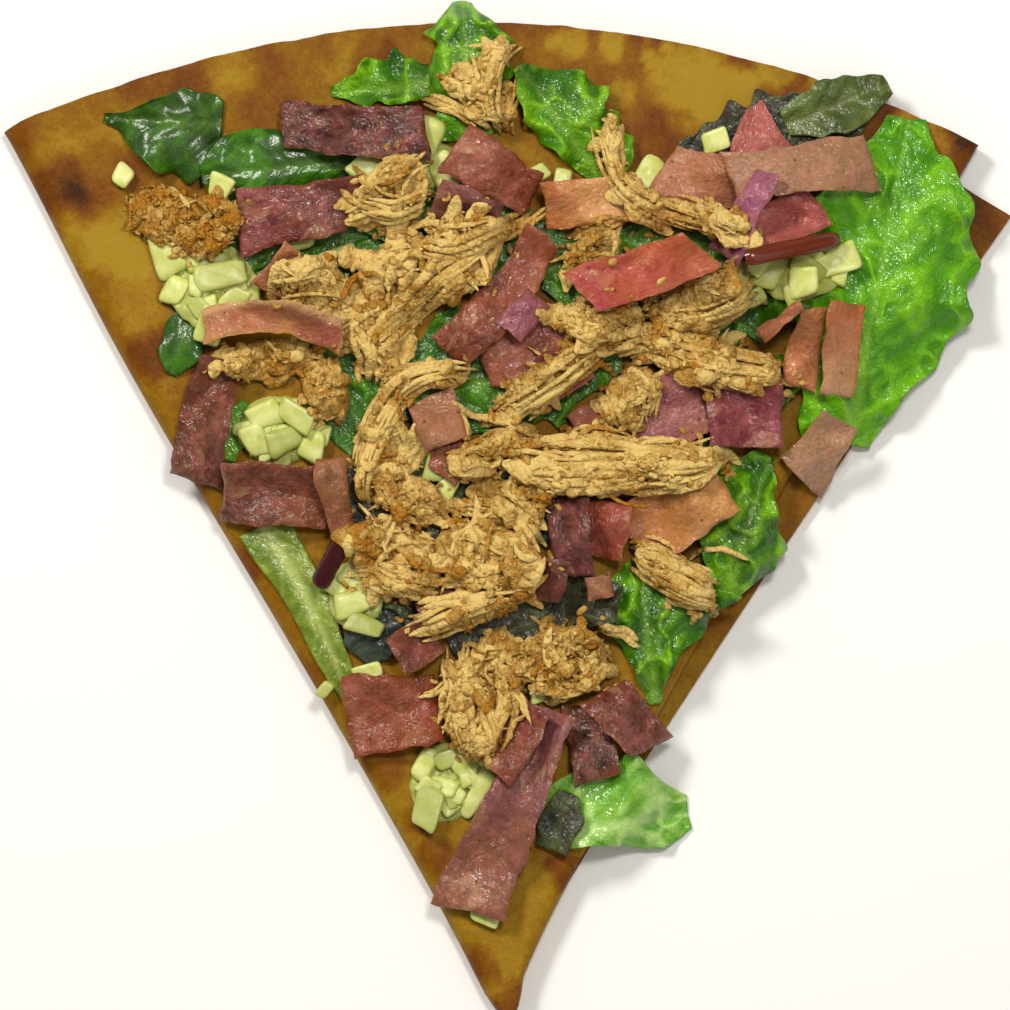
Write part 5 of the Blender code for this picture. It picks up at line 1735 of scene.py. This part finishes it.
def mound(heights: Heights, lump: Lump, step: float, seed: int, relief: float) -> Shell:
    """A rough mound over an ellipse, on a polar grid: height = that of an ellipsoid, and noise.

    Args:
        heights: What lies there already.
        lump: The ellipse and its height.
        step: The grid's spacing in mm.
        seed: Its number.
        relief: How far its surface moves, in mm.

    Returns:
        The closed mound, with a painted shade value for each point, higher where the surface lies low.
    """
    rings = max(5, int((lump.length + lump.width) / 4 / step))
    spokes = max(18, int(np.pi * (lump.length + lump.width) / 2 / step))
    share = np.linspace(0.02, 1, rings)[:, None]
    angle = (2 * np.pi * np.arange(spokes) / spokes)[None, :]
    ragged = 1 + 0.10 * noise(stacked(2.2 * np.cos(angle), 2.2 * np.sin(angle), seed * 1.7), seed)
    ragged = ragged + 0.05 * noise(stacked(6 * np.cos(angle), 6 * np.sin(angle), seed * 1.3), seed)
    x, y = turned(
        lump.length / 2 * share * ragged * np.cos(angle),
        lump.width / 2 * share * ragged * np.sin(angle),
        lump.turn,
    )
    x, y = x + lump.x, y + lump.y
    low = heights.at(heights.drape(2.0), x, y) + GAP - 0.5
    dome = lump.height * np.sqrt(np.maximum(1 - share**2, 0)) + 0.35
    first, second = cells_of(x / 3.4 + 0.2 * noise(stacked(x / 2, y / 2, 0.0), seed), y / 3.4, seed)
    lumps = smoothstep(0.0, 0.5, second - first) - 0.6
    grain = 0.6 * lumps + 0.7 * fractal(stacked(x, y, dome + low) / 1.7, seed, 3)
    high = low + dome + relief * (grain * 2.0) * smoothstep(1.0, 0.9, share)
    high = np.maximum(high, low + 0.15)
    faces = grid_faces(rings, spokes, wrap=True)[:, ::-1]
    hub = np.arange(spokes)
    centre_low, centre_high = stacked(x, y, low)[0].mean(axis=0), stacked(x, y, high)[0].mean(axis=0)
    lower = np.concatenate([stacked(x, y, low).reshape(-1, 3), centre_low[None]])
    upper = np.concatenate([stacked(x, y, high).reshape(-1, 3), centre_high[None]])
    cap = np.stack([hub, (hub + 1) % spokes, 0 * hub + rings * spokes], axis=-1)
    rim = (rings - 1) * spokes + hub
    shell = two_sided(lower, upper, np.concatenate([faces, cap]), rim)
    # Painted shade value: higher where the surface lies low.
    pit = np.append(-1.0 * grain.ravel(), 0)
    shell.values["pit"] = np.tile(pit, 2)
    return shell


@dataclass(frozen=True)
class Strand:
    """A torn strip of meat: fibres side by side along a path, frayed at its ends.

    Attributes:
        path: Points of its middle line, x and y in mm.
        width: At its widest.
        fibres: How many lie side by side.
        tone: From 0, cream, to 1, golden.
        taper: Its width at the far end, as a share of that at the near end.
    """

    path: tuple[tuple[float, float], ...]
    width: float
    fibres: int = 5
    tone: float = 0.3
    taper: float = 1.0
    rise: float = 0.8


@dataclass(frozen=True)
class Clump:
    """Pulled chicken: lumps run together, with torn strips and short fibres on them.

    Attributes:
        strands: Strips that show singly.
        tone: The clump's own tone.
        crumbly: The share of short fibres against strips.
    """

    name: str
    seed: int
    lumps: tuple[Lump, ...]
    turn: float
    spread: float
    strip_length: float
    strands: tuple[Strand, ...] = ()
    tone: float = 0.4
    crumbly: float = 0.5


LOWER_CHICKEN = (
    Clump(
        "chicken_left_top", 11, (Lump(-68, 58, 18, 12, -15, 5.0), Lump(-60, 56, 16, 13, 20, 5.5)), 0, 60, 6,
        tone=0.75, crumbly=1.6,
    ),
    Clump(
        "chicken_left_middle", 12, (Lump(-47, 29, 21, 9, 8, 4.5), Lump(-36, 23, 14, 9, -60, 5.0)), -20, 50,
        7, tone=0.5, crumbly=1.3,
    ),
    Clump(
        "chicken_small_right", 13, (Lump(31, -11.5, 12, 7, -35, 4.0), Lump(37, -17, 12, 8, -30, 4.5)), -28,
        18, 10,
        (
            Strand(((25.4, -11), (35, -17), (43.4, -20)), 5, 5, 0.3),
            Strand(((27, -9), (38, -13), (44, -15.5)), 3, 3, 0.3),
            Strand(((37, -11), (40, -8.8), (44, -8.6), (48.6, -11.4)), 1.3, 1, 0.0),
        ),
        tone=0.3,
    ),
    Clump(
        "chicken_top", 14, (Lump(-3, 88, 14, 6, 60, 3.5), Lump(-4, 81, 16, 8, -30, 4.0)), 95, 45, 9,
        (
            Strand(((4, 92), (-1, 89), (-3, 81), (0, 74)), 3.5, 4, 0.2),
            Strand(((-19, 82), (-11, 80), (-3, 75)), 2.5, 3, 0.2),
            Strand(((-15, 86), (-8, 82), (-2, 84)), 2.0, 2, 0.2),
        ),
        tone=0.25,
    ),
)

MAIN_CHICKEN = (
    Clump(
        "chicken_upper", 21,
        (
            Lump(-22, 62, 18, 15, 60, 5.0), Lump(-38, 44, 18, 11, -20, 4.0), Lump(-11, 49, 26, 16, 35, 7.0),
            Lump(-23, 44, 18, 15, 60, 6.5), Lump(-27, 34, 16, 12, -40, 5.5),
        ),
        35, 35, 13,
        (
            Strand(((-28, 30), (-20, 38), (-12, 45), (-2, 52)), 6, 6, 0.15),
            Strand(((-30, 60), (-22, 58), (-14, 62)), 5, 5, 0.15),
            Strand(((-20, 52), (-10, 50), (2, 56), (8, 60)), 5, 5, 0.3),
            Strand(((-30, 36), (-27, 30), (-28, 24)), 4, 4, 0.1),
        ),
        tone=0.3,
    ),
    Clump(
        "chicken_centre", 22,
        (
            Lump(-25, 11, 22, 9, 72, 6.0), Lump(-17, 26, 17, 6, 10, 4.0),
            Lump(-18.6, 1.5, 14, 10, -10, 6.0), Lump(-21.5, -11, 21, 17, -30, 7.0),
            Lump(-3.5, -10.5, 25, 15, -20, 7.5), Lump(-5.5, 8, 9, 7, 40, 5.0), Lump(6, 6, 9, 14, 10, 6.0),
            Lump(-1.5, -1, 14, 7, -10, 6.0), Lump(1, 13, 13, 7, 20, 5.0), Lump(8, 24.5, 28, 8, 34, 6.5),
        ),
        10, 50, 13,
        (
            Strand(((-5, 26.6), (-13, 27), (-21, 24), (-25.4, 17), (-28.6, 9), (-29.6, 1)), 5.5, 7, 0.05),
            Strand(((19, 32), (12, 27), (5, 22), (-2, 17.4)), 7, 8, 0.3),
            Strand(((-11.8, 22.6), (-7, 18), (-1, 17), (4, 18)), 1.6, 2, 0.0),
            Strand(((-8.6, 18.6), (-7, 12)), 1.8, 2, 0.0), Strand(((-2, 2), (4, -3), (8, -9)), 7, 6, 0.0),
            Strand(((-20.6, -25), (-13, -21.4), (-5, -19), (4, -17.4)), 2.5, 3, 0.0),
            Strand(((-21, -22), (-11, -20), (-1, -19)), 2.2, 3, 0.0),
            Strand(((-27, -12), (-20, -16), (-12, -18)), 5, 5, 0.3),
        ),
        tone=0.5,
    ),
    Clump(
        "chicken_right", 23,
        (
            Lump(20, 37, 20, 9, 5, 4.5), Lump(38, 41, 24, 12, 12, 5.5), Lump(18, 51, 13, 8, 30, 4.5),
            Lump(25, 22, 15, 9, 60, 4.5), Lump(28, 33.5, 24, 8, -3, 4.0), Lump(43, 28, 27, 10, -10, 5.5),
        ),
        5, 40, 11,
        (
            Strand(((12, 35), (19, 38), (27, 40)), 4, 4, 0.0),
            Strand(((11, 38), (17, 34.5), (24, 35.5)), 4, 3, -0.2),
            Strand(((21, 31), (27, 34), (35, 32)), 4.5, 3, -0.15),
            Strand(((33, 36), (38, 33.5), (43, 36)), 3, 3, 0.0),
            Strand(((24, 29), (30, 29.5), (34, 26)), 2.4, 2, -0.1),
            Strand(((32, 32), (43, 29), (56, 26.6)), 5, 6, 0.35),
            Strand(((30, 36), (42, 38), (52, 43)), 4, 5, 0.2), Strand(((19, 24), (23, 15)), 3, 3, 0.3),
            Strand(((30, 26), (29, 16)), 2.5, 3, 0.2), Strand(((12, 52), (18, 55), (24, 57)), 4, 4, 0.4),
        ),
        tone=0.4, crumbly=0.8,
    ),
    Clump(
        "chicken_lower", 24,
        (
            Lump(-6, -40, 14, 23, 5, 6.0), Lump(0, -31, 9, 14, 20, 5.0), Lump(-8, -22, 20, 5, 12, 2.5),
            Lump(12, -31, 19, 16, 0, 7.0),
        ),
        40, 50, 8,
        (
            Strand(((-7, -27), (-8.6, -39), (-7, -49)), 4, 5, 0.2),
            Strand(((-1, -29), (1, -39), (-3, -52)), 4, 5, 0.3),
            Strand(((-12, -28), (-11, -38), (-13.5, -46)), 2.6, 3, 0.0),
            Strand(((-9, -31), (-4, -40), (-1, -50)), 2.6, 3, 0.0),
            Strand(((-5, -34), (3, -38), (5.5, -45)), 2.0, 2, 0.0),
            Strand(((-10, -34), (-14, -38), (-18, -38.5)), 1.5, 2, -0.1),
            Strand(((-20.6, -25.5), (-13, -22), (-5, -19.4), (3, -18)), 3.6, 4, -0.25, rise=1.4),
            Strand(((-19, -20.4), (-11, -18.8), (-2, -18.6)), 2.2, 2, -0.25, rise=1.6),
            Strand(((-20, -27.4), (-12, -25.6), (-4, -22)), 2.0, 2, 0.0, rise=1.2),
            Strand(((17, -24), (23, -25.4), (28.6, -28.6)), 1.8, 2, 0.0),
        ),
        tone=0.5, crumbly=1.3,
    ),
    Clump(
        "chicken_flake", 25, (Lump(22, 8, 34, 13, 0, 5.0), Lump(34, 8, 22, 8, 5, 4.0)), 0, 12, 18,
        (
            Strand(((5, 8.5), (17, 8), (29, 8), (45, 8.8)), 13, 13, 0.15, 0.25),
            Strand(((6, 4), (17, 3.5), (32, 5)), 4, 5, 0.1, 0.5),
        ),
        tone=0.3, crumbly=0.7,
    ),
)

HOOK_CHICKEN = (
    Clump(
        "chicken_hook", 26,
        (Lump(21, 71, 13, 3.6, 100, 2.4), Lump(26, 61, 14, 6, -55, 3.5), Lump(37, 58, 22, 6, -12, 3.5)),
        -35, 25, 12,
        (
            Strand(((18.6, 79), (20.2, 71), (22.6, 64), (28, 60), (37, 57), (45, 53.8)), 4.4, 6, 0.3),
            Strand(((23.5, 78), (22, 72), (22.6, 66)), 2.5, 3, 0.3),
        ),
        tone=0.35, crumbly=0.2,
    ),
)


@dataclass
class Chicken:
    """The clumps of pulled chicken: mounds, torn flakes, frayed fibres and crumbs.

    Attributes:
        sizes: Flakes, then shreds: widths above and up to, in mm, rings and points in a ring.
        fibre_grid: Rings and points in a ring of a fibre.
        flake_rough: How rough flakes are, by the three noises that rods takes.
        fibre_rough: The same for fibres.
        crumb_rough: The same for crumbs.
    """

    sizes: tuple[tuple[float, float, int, int], ...] = ((2.0, 99.0, 32, 18), (0.0, 2.0, 18, 8))
    fibre_grid: tuple[int, int] = (30, 7)
    flake_rough: tuple[float, float, float] = (0.20, 0.26, 0.10)
    fibre_rough: tuple[float, float, float] = (0.18, 0.25, 0.0)
    crumb_rough: tuple[float, float, float] = (0.22, 0.42, 0.0)

    def flakes(self, clump: Clump, draw: np.random.Generator) -> list[Strand]:
        """Torn flakes laid at random over a clump's lumps, mostly along its own turn.

        Args:
            clump: The clump.
            draw: The clump's own random numbers.

        Returns:
            The flakes.
        """
        made = []
        for lump in clump.lumps:
            for number in range(int(lump.area() / (9.0 + 3.0 * clump.crumbly))):
                share, angle = 0.45 * math.sqrt(draw.random()), 2 * math.pi * draw.random()
                middle_x, middle_y = lump.spot(share, angle)
                is_shred = number % 3 > 0
                spread = (0.35, 1.0) if is_shred else (0.5, 1.2)
                length = clump.strip_length * draw.uniform(*spread)
                turn = clump.turn + draw.normal(0, clump.spread)
                t = np.linspace(-1, 1, 5)
                bend = draw.normal(0, 0.14) * length * (1 - t * t)
                bend = bend + draw.normal(0, 0.05) * length * t**3
                x, y = turned(length / 2 * t, bend, turn)
                path = tuple(zip(x + middle_x, y + middle_y))
                width = draw.uniform(0.7, 1.7) if is_shred else draw.uniform(2.2, 5.6)
                width = width if is_shred else min(width, 0.5 * length)
                tone = clump.tone - 0.10 + draw.normal(0, 0.36)
                made.append(Strand(path, width, 1, tone, draw.uniform(0.3, 1.3)))
        return made

    def bodies(
        self,
        heights: Heights,
        strands: list[Strand],
        draw: np.random.Generator,
        seed: int,
        rings: int,
        sides: int,
    ) -> Shell:
        """One ridged body for each flake: its width swells along its path and its ends taper off.

        Args:
            heights: What lies there already.
            strands: The flakes.
            draw: Random numbers.
            seed: For the noise.
            rings: Rings of points in each.
            sides: Points in each ring.

        Returns:
            All of them, with tone and painted pit shade.
        """
        rest = heights.smoothed(heights.top, 1.6)
        t = np.linspace(0, 1, rings)
        lines = [self.line(strand, t[None], np.zeros((1, 1))) for strand in strands]
        x, y = np.concatenate([line[0] for line in lines]), np.concatenate([line[1] for line in lines])
        width = np.array([strand.width for strand in strands])[:, None]
        taper = np.array([strand.taper for strand in strands])[:, None]
        blunt = draw.uniform(2.0, 6.0, (len(strands), 1))
        end = 1 - 0.8 * np.abs(2 * t - 1) ** blunt
        radius = width / 2 * (1 + (taper - 1) * t) * end
        radius = radius * (1 + 0.22 * noise(stacked(x / 2.5, y / 2.5, width), seed))
        z = heights.at(rest, x, y) + 0.10 * width + draw.uniform(-0.3, 1.2, (len(strands), 1))
        for _ in range(8):
            z[:, 1:-1] = (z[:, :-2] + z[:, 1:-1] * 2 + z[:, 2:]) / 4
        z = z + draw.uniform(0.0, 1.6, (len(strands), 1)) * np.abs(2 * t - 1) ** 3
        shell = rods(stacked(x, y, z), radius, 0.42, sides, self.flake_rough, seed)
        tone = np.array([strand.tone for strand in strands])
        shell.values["tone"] = np.repeat(tone, rings * sides)
        return shell

    def line(self, strand: Strand, s: Array, off: Array) -> tuple[Array, Array]:
        """Points along a strand's path, off mm to its left.

        Args:
            strand: The strand.
            s: Shares of the way along it.
            off: How far to its left.

        Returns:
            x and y.
        """
        path = np.array(strand.path)
        knots = np.append(0, np.cumsum(np.hypot(*np.diff(path, axis=0).T)))
        knots = knots / knots[-1]
        soft = np.linspace(-0.09, 0.09, 7)[:, None, None]
        places = np.clip(s + soft * np.minimum(1, 4 * np.minimum(s, 1 - s) + 0.2), 0, 1)
        x = np.interp(places, knots, path[:, 0]).mean(axis=0)
        y = np.interp(places, knots, path[:, 1]).mean(axis=0)
        along_x, along_y = np.gradient(x, axis=1), np.gradient(y, axis=1)
        size = np.hypot(along_x, along_y) + 1e-9
        return x - along_y / size * off, y + along_x / size * off

    def fibres(self, heights: Heights, strands: list[Strand], draw: np.random.Generator, seed: int) -> Shell:
        """The fibres of strips: each follows its strip's path at its own place across it.

        A fibre starts and ends at its own point, so that the strip frays, wanders from side to
        side, and lies lower towards the strip's edge, as on a flattened oval.

        Args:
            heights: What lies there already.
            strands: The strips.
            draw: Random numbers.
            seed: For the noise.

        Returns:
            All fibres, with tone and painted pit shade.
        """
        rings, sides = self.fibre_grid
        rest = heights.smoothed(heights.top, 1.2)
        middles, radii, tones = [], [], []
        t = np.linspace(0, 1, rings)
        for strand in strands:
            count = strand.fibres
            single = count == 1
            place = (np.arange(count) + 0.5) / count * 2 - 1 + (0 if single else draw.normal(0, 0.12, count))
            start = draw.uniform(0.0, 0.22, count) * (not single)
            end = 1 - draw.uniform(0.0, 0.22, count) * (not single)
            s = start[:, None] + (end - start)[:, None] * t[None]
            half = strand.width / 2 * (1 + (strand.taper - 1) * s) * (0.75 + 0.25 * np.sin(np.pi * s))
            wander = noise(stacked(s * 5.0, place[:, None] * 9 + 0 * s, 0.0), seed + count)
            x, y = self.line(strand, s, half * place[:, None] + 0.45 * wander)
            thick = draw.uniform(0.7, 1.5, count)[:, None] * strand.width / max(count, 2) * 0.72
            radius = thick * (1 - 0.75 * np.abs(2 * t - 1) ** 4)
            high = strand.rise * np.sqrt(np.maximum(1 - np.minimum(np.abs(place), 1) ** 2, 0))[:, None]
            z = heights.at(rest, x, y) + 0.25 + high * (0.4 + 0.6 * np.sin(np.pi * s))
            z = z + 0.45 * noise(stacked(x / 2.5, y / 2.5, place[:, None] * 5), seed)
            for _ in range(4):
                z[:, 1:-1] = (z[:, :-2] + z[:, 1:-1] * 2 + z[:, 2:]) / 4
            middles.append(stacked(x, y, z))
            radii.append(radius)
            tones.append(strand.tone + draw.normal(0, 0.10, count))
        shell = rods(np.concatenate(middles), np.concatenate(radii), 0.75, sides, self.fibre_rough, seed)
        shell.values["tone"] = np.repeat(np.concatenate(tones), rings * sides)
        return shell

    def crumbs_at(
        self,
        heights: Heights,
        spots: Array,
        turn: Array,
        length: Array,
        tone: Array,
        seed: int,
        rings: int = 8,
        sides: int = 8,
    ) -> Shell:
        """Crumbs and short shreds: bent bodies on the surface, fat in the middle.

        Args:
            heights: What lies there already.
            spots: The middle of each, x and y.
            turn: Each one's way, in degrees.
            length: Each one's length.
            tone: Each one's tone.
            seed: For the noise.
            rings: Rings of points in each.
            sides: Points in each ring.

        Returns:
            All of them, with tone and painted pit shade.
        """
        draw = np.random.default_rng(seed)
        t = np.linspace(-1, 1, rings)[None]
        bend = draw.normal(0, 0.16, (len(spots), 1)) * length[:, None]
        x, y = turned(length[:, None] / 2 * t, bend * (1 - t * t), turn[:, None])
        x, y = x + spots[:, :1], y + spots[:, 1:]
        rest = heights.smoothed(heights.top, 0.8)
        slender = draw.uniform(0.2, 0.45, (len(spots), 1))
        radius = np.minimum(length[:, None] * slender, 1.6) * np.sqrt(1 - 0.86 * t * t)
        z = heights.at(rest, x, y) + draw.uniform(-0.35, 0.25, (len(spots), 1))
        z[:, 1:-1] = (z[:, :-2] + z[:, 1:-1] + z[:, 2:]) / 3
        shell = rods(stacked(x, y, z), radius, 0.8, sides, self.crumb_rough, seed)
        shell.values["tone"] = np.repeat(tone, rings * sides)
        return shell

    def scattered(self, clump: Clump, draw: np.random.Generator, each: float) -> tuple[Array, Array]:
        """Random spots over a clump's lumps, and a way for each.

        Args:
            clump: The clump.
            draw: The clump's own random numbers.
            each: The area that each spot has, in square mm.

        Returns:
            The spots, as rows of x and y, and their turns in degrees.
        """
        spots, turns = [], []
        for lump in clump.lumps:
            count = int(lump.area() / each)
            share, angle = 0.49 * np.sqrt(draw.random(count)), 2 * np.pi * draw.random(count)
            spots.append(np.stack(lump.spot(share, angle), axis=-1))
            turns.append(clump.turn + draw.normal(0, 1.3 * clump.spread, count))
        return np.concatenate(spots), np.concatenate(turns)

    def build(self, heights: Heights, clumps: tuple[Clump, ...], material: Material) -> None:
        """Makes each clump and lays it down: mounds, flakes, strips, then crumbs.

        Args:
            heights: What lies there already.
            clumps: The clumps, the lowest first.
            material: The chicken's material.
        """
        for clump in clumps:
            draw = np.random.default_rng(clump.seed)
            shells = []
            for number, lump in enumerate(clump.lumps):
                low = replace(
                    lump, height=0.62 * lump.height, length=0.90 * lump.length, width=0.90 * lump.width
                )
                shells.append(mound(heights, low, 0.45, clump.seed * 7 + number, 0.55))
                shells[-1].values["tone"] = np.full(len(shells[-1].points), clump.tone + 0.05)
            heights.stamp(joined(shells))
            torn = self.flakes(clump, draw)
            for number, (low, high, rings, sides) in enumerate(self.sizes):
                chosen = [strand for strand in torn if low < strand.width <= high]
                shells.append(self.bodies(heights, chosen, draw, clump.seed + number, rings, sides))
                heights.stamp(shells[-1])
            if clump.strands:
                shells.append(self.fibres(heights, list(clump.strands), draw, clump.seed))
                heights.stamp(shells[-1])
            spots, turns = self.scattered(clump, draw, 16.0 / (0.2 + 0.8 * clump.crumbly))
            length = draw.uniform(1.4, 4.0, len(spots))
            tone = clump.tone + draw.normal(0.05, 0.22, len(spots))
            shells.append(self.crumbs_at(heights, spots, turns, length, tone, clump.seed + 50))
            heights.stamp(shells[-1])
            spots, turns = self.scattered(clump, draw, 1.4 / (0.2 + 0.8 * clump.crumbly))
            dense = noise(np.append(spots / 6, 0 * spots[:, :1], axis=-1), clump.seed) > -0.1
            spots, turns = spots[dense], turns[dense]
            length = draw.uniform(0.5, 1.5, len(spots))
            tone = clump.tone + 0.1 + draw.normal(0, 0.25, len(spots))
            shells.append(self.crumbs_at(heights, spots, turns, length, tone, clump.seed + 80, 5, 6))
            piece_of(clump.name + "_meat", joined(shells), material, (clump.name,))

    def strewn(self, heights: Heights, material: Material) -> None:
        """Single crumbs strewn round the clumps, on whatever lies there."""
        draw = np.random.default_rng(500)
        lumps = [lump for clump in LOWER_CHICKEN + MAIN_CHICKEN + HOOK_CHICKEN for lump in clump.lumps]
        spots = []
        for lump in lumps:
            count = int(0.55 * (lump.length + lump.width))
            share, angle = draw.uniform(0.46, 0.66, count), 2 * np.pi * draw.random(count)
            spots.append(np.stack(lump.spot(share, angle), axis=-1))
        spots = np.concatenate(spots)
        spots = spots[heights.at(heights.top, spots[:, 0], spots[:, 1]) > 9]
        tone = draw.uniform(0.2, 0.9, len(spots))
        length = draw.uniform(0.8, 2.4, len(spots))
        shell = self.crumbs_at(heights, spots, draw.uniform(0, 180, len(spots)), length, tone, 501)
        piece_of("chicken_crumbs", shell, material)


# The studio.


@dataclass
class Studio:
    """A pale floor, soft lights and the photograph's camera, which looks straight down.

    Attributes:
        lights: Name, place and side in metres, and power in watts of each.
    """

    floor_colour: str = "#fafafc"
    floor_size: float = 6.0
    warmth: str = "#fffbf1"
    sky: str = "#fffaf0"
    sky_strength: float = 0.26
    lights: tuple[tuple[str, tuple[float, float, float], float, float], ...] = (
        ("key", (-0.55, 0.65, 1.00), 0.25, 10.0),
        ("fill", (0.6, -0.3, 1.0), 0.8, 1.6),
        ("sparkle", (0.12, 0.26, 0.95), 0.14, 3.8),
    )

    def build(self) -> None:
        """Makes the floor, the lights and the camera."""
        scene = bpy.context.scene
        scene.view_settings.view_transform = "Standard"
        scene.view_settings.look = "None"
        material, node = new_material("studio_floor")
        place = node(Kind.PLACE)
        cloud = node(Kind.NOISE, place, 3.0)
        rough = node(Kind.RANGE, cloud, 0.0, 1.0, 0.85, 0.95)
        node(Kind.OUTPUT, node(Kind.SHADER, self.floor_colour, rough))
        size = self.floor_size / 2
        mesh = bpy.data.meshes.new("floor")
        corners = [(-size, -size, 0), (size, -size, 0), (size, size, 0), (-size, size, 0)]
        mesh.from_pydata(corners, [], [(0, 1, 2, 3)])
        mesh.materials.append(material)
        floor = bpy.data.objects.new("floor", mesh)
        scene.collection.objects.link(floor)
        world = bpy.data.worlds.new("studio")
        world.use_nodes = True
        background = world.node_tree.nodes["Background"]
        background.inputs["Color"].default_value = linear(self.sky)
        background.inputs["Strength"].default_value = self.sky_strength
        scene.world = world
        for name, place, side, watts in self.lights:
            self.light(name, place, side, watts)
        self.camera()

    def light(self, name: str, place: tuple[float, float, float], size: float, watts: float) -> None:
        """Adds a square area light aimed at the crepe's middle.

        Args:
            name: Its name.
            place: Where it hangs, in metres.
            size: Its side, in metres.
            watts: Its power.
        """
        lamp = bpy.data.lights.new(name, "AREA")
        lamp.size = size
        lamp.energy = watts
        lamp.color = linear(self.warmth)[:3]
        made = bpy.data.objects.new(name, lamp)
        x, y, z = place
        made.location = place
        made.rotation_euler = (math.atan2(math.hypot(x, y), z), 0.0, math.atan2(x, -y))
        bpy.context.scene.collection.objects.link(made)

    def camera(self) -> None:
        """Adds the camera: straight down, the photograph's frame at the toppings' height."""
        eye = bpy.data.cameras.new("photograph")
        eye.sensor_width = SENSOR
        eye.lens = SENSOR * CAMERA_DISTANCE / FRAME_WIDTH
        eye.clip_end = 20.0
        made = bpy.data.objects.new("photograph", eye)
        made.location = (0.0, 0.0, FRAME_HEIGHT + CAMERA_DISTANCE)
        bpy.context.scene.collection.objects.link(made)
        bpy.context.scene.camera = made


def main() -> None:
    """Builds the studio, then the crepe and its toppings from the bottom up."""
    logging.basicConfig(level=logging.INFO, format="%(message)s")
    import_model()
    Studio().build()
    heights = Heights()
    Crepe().build(heights)
    Salad().build(heights)
    Cheese().build(heights)
    ham_pieces, chicken = Ham(), Chicken()
    meat = ChickenFinish().material()
    ham_pieces.build_lower(heights)
    HAM_DISC.build(heights, 60)
    chicken.build(heights, LOWER_CHICKEN + MAIN_CHICKEN, meat)
    ham_pieces.build_upper(heights)
    chicken.build(heights, HOOK_CHICKEN, meat)
    chicken.strewn(heights, meat)


if __name__ == "__main__":
    main()
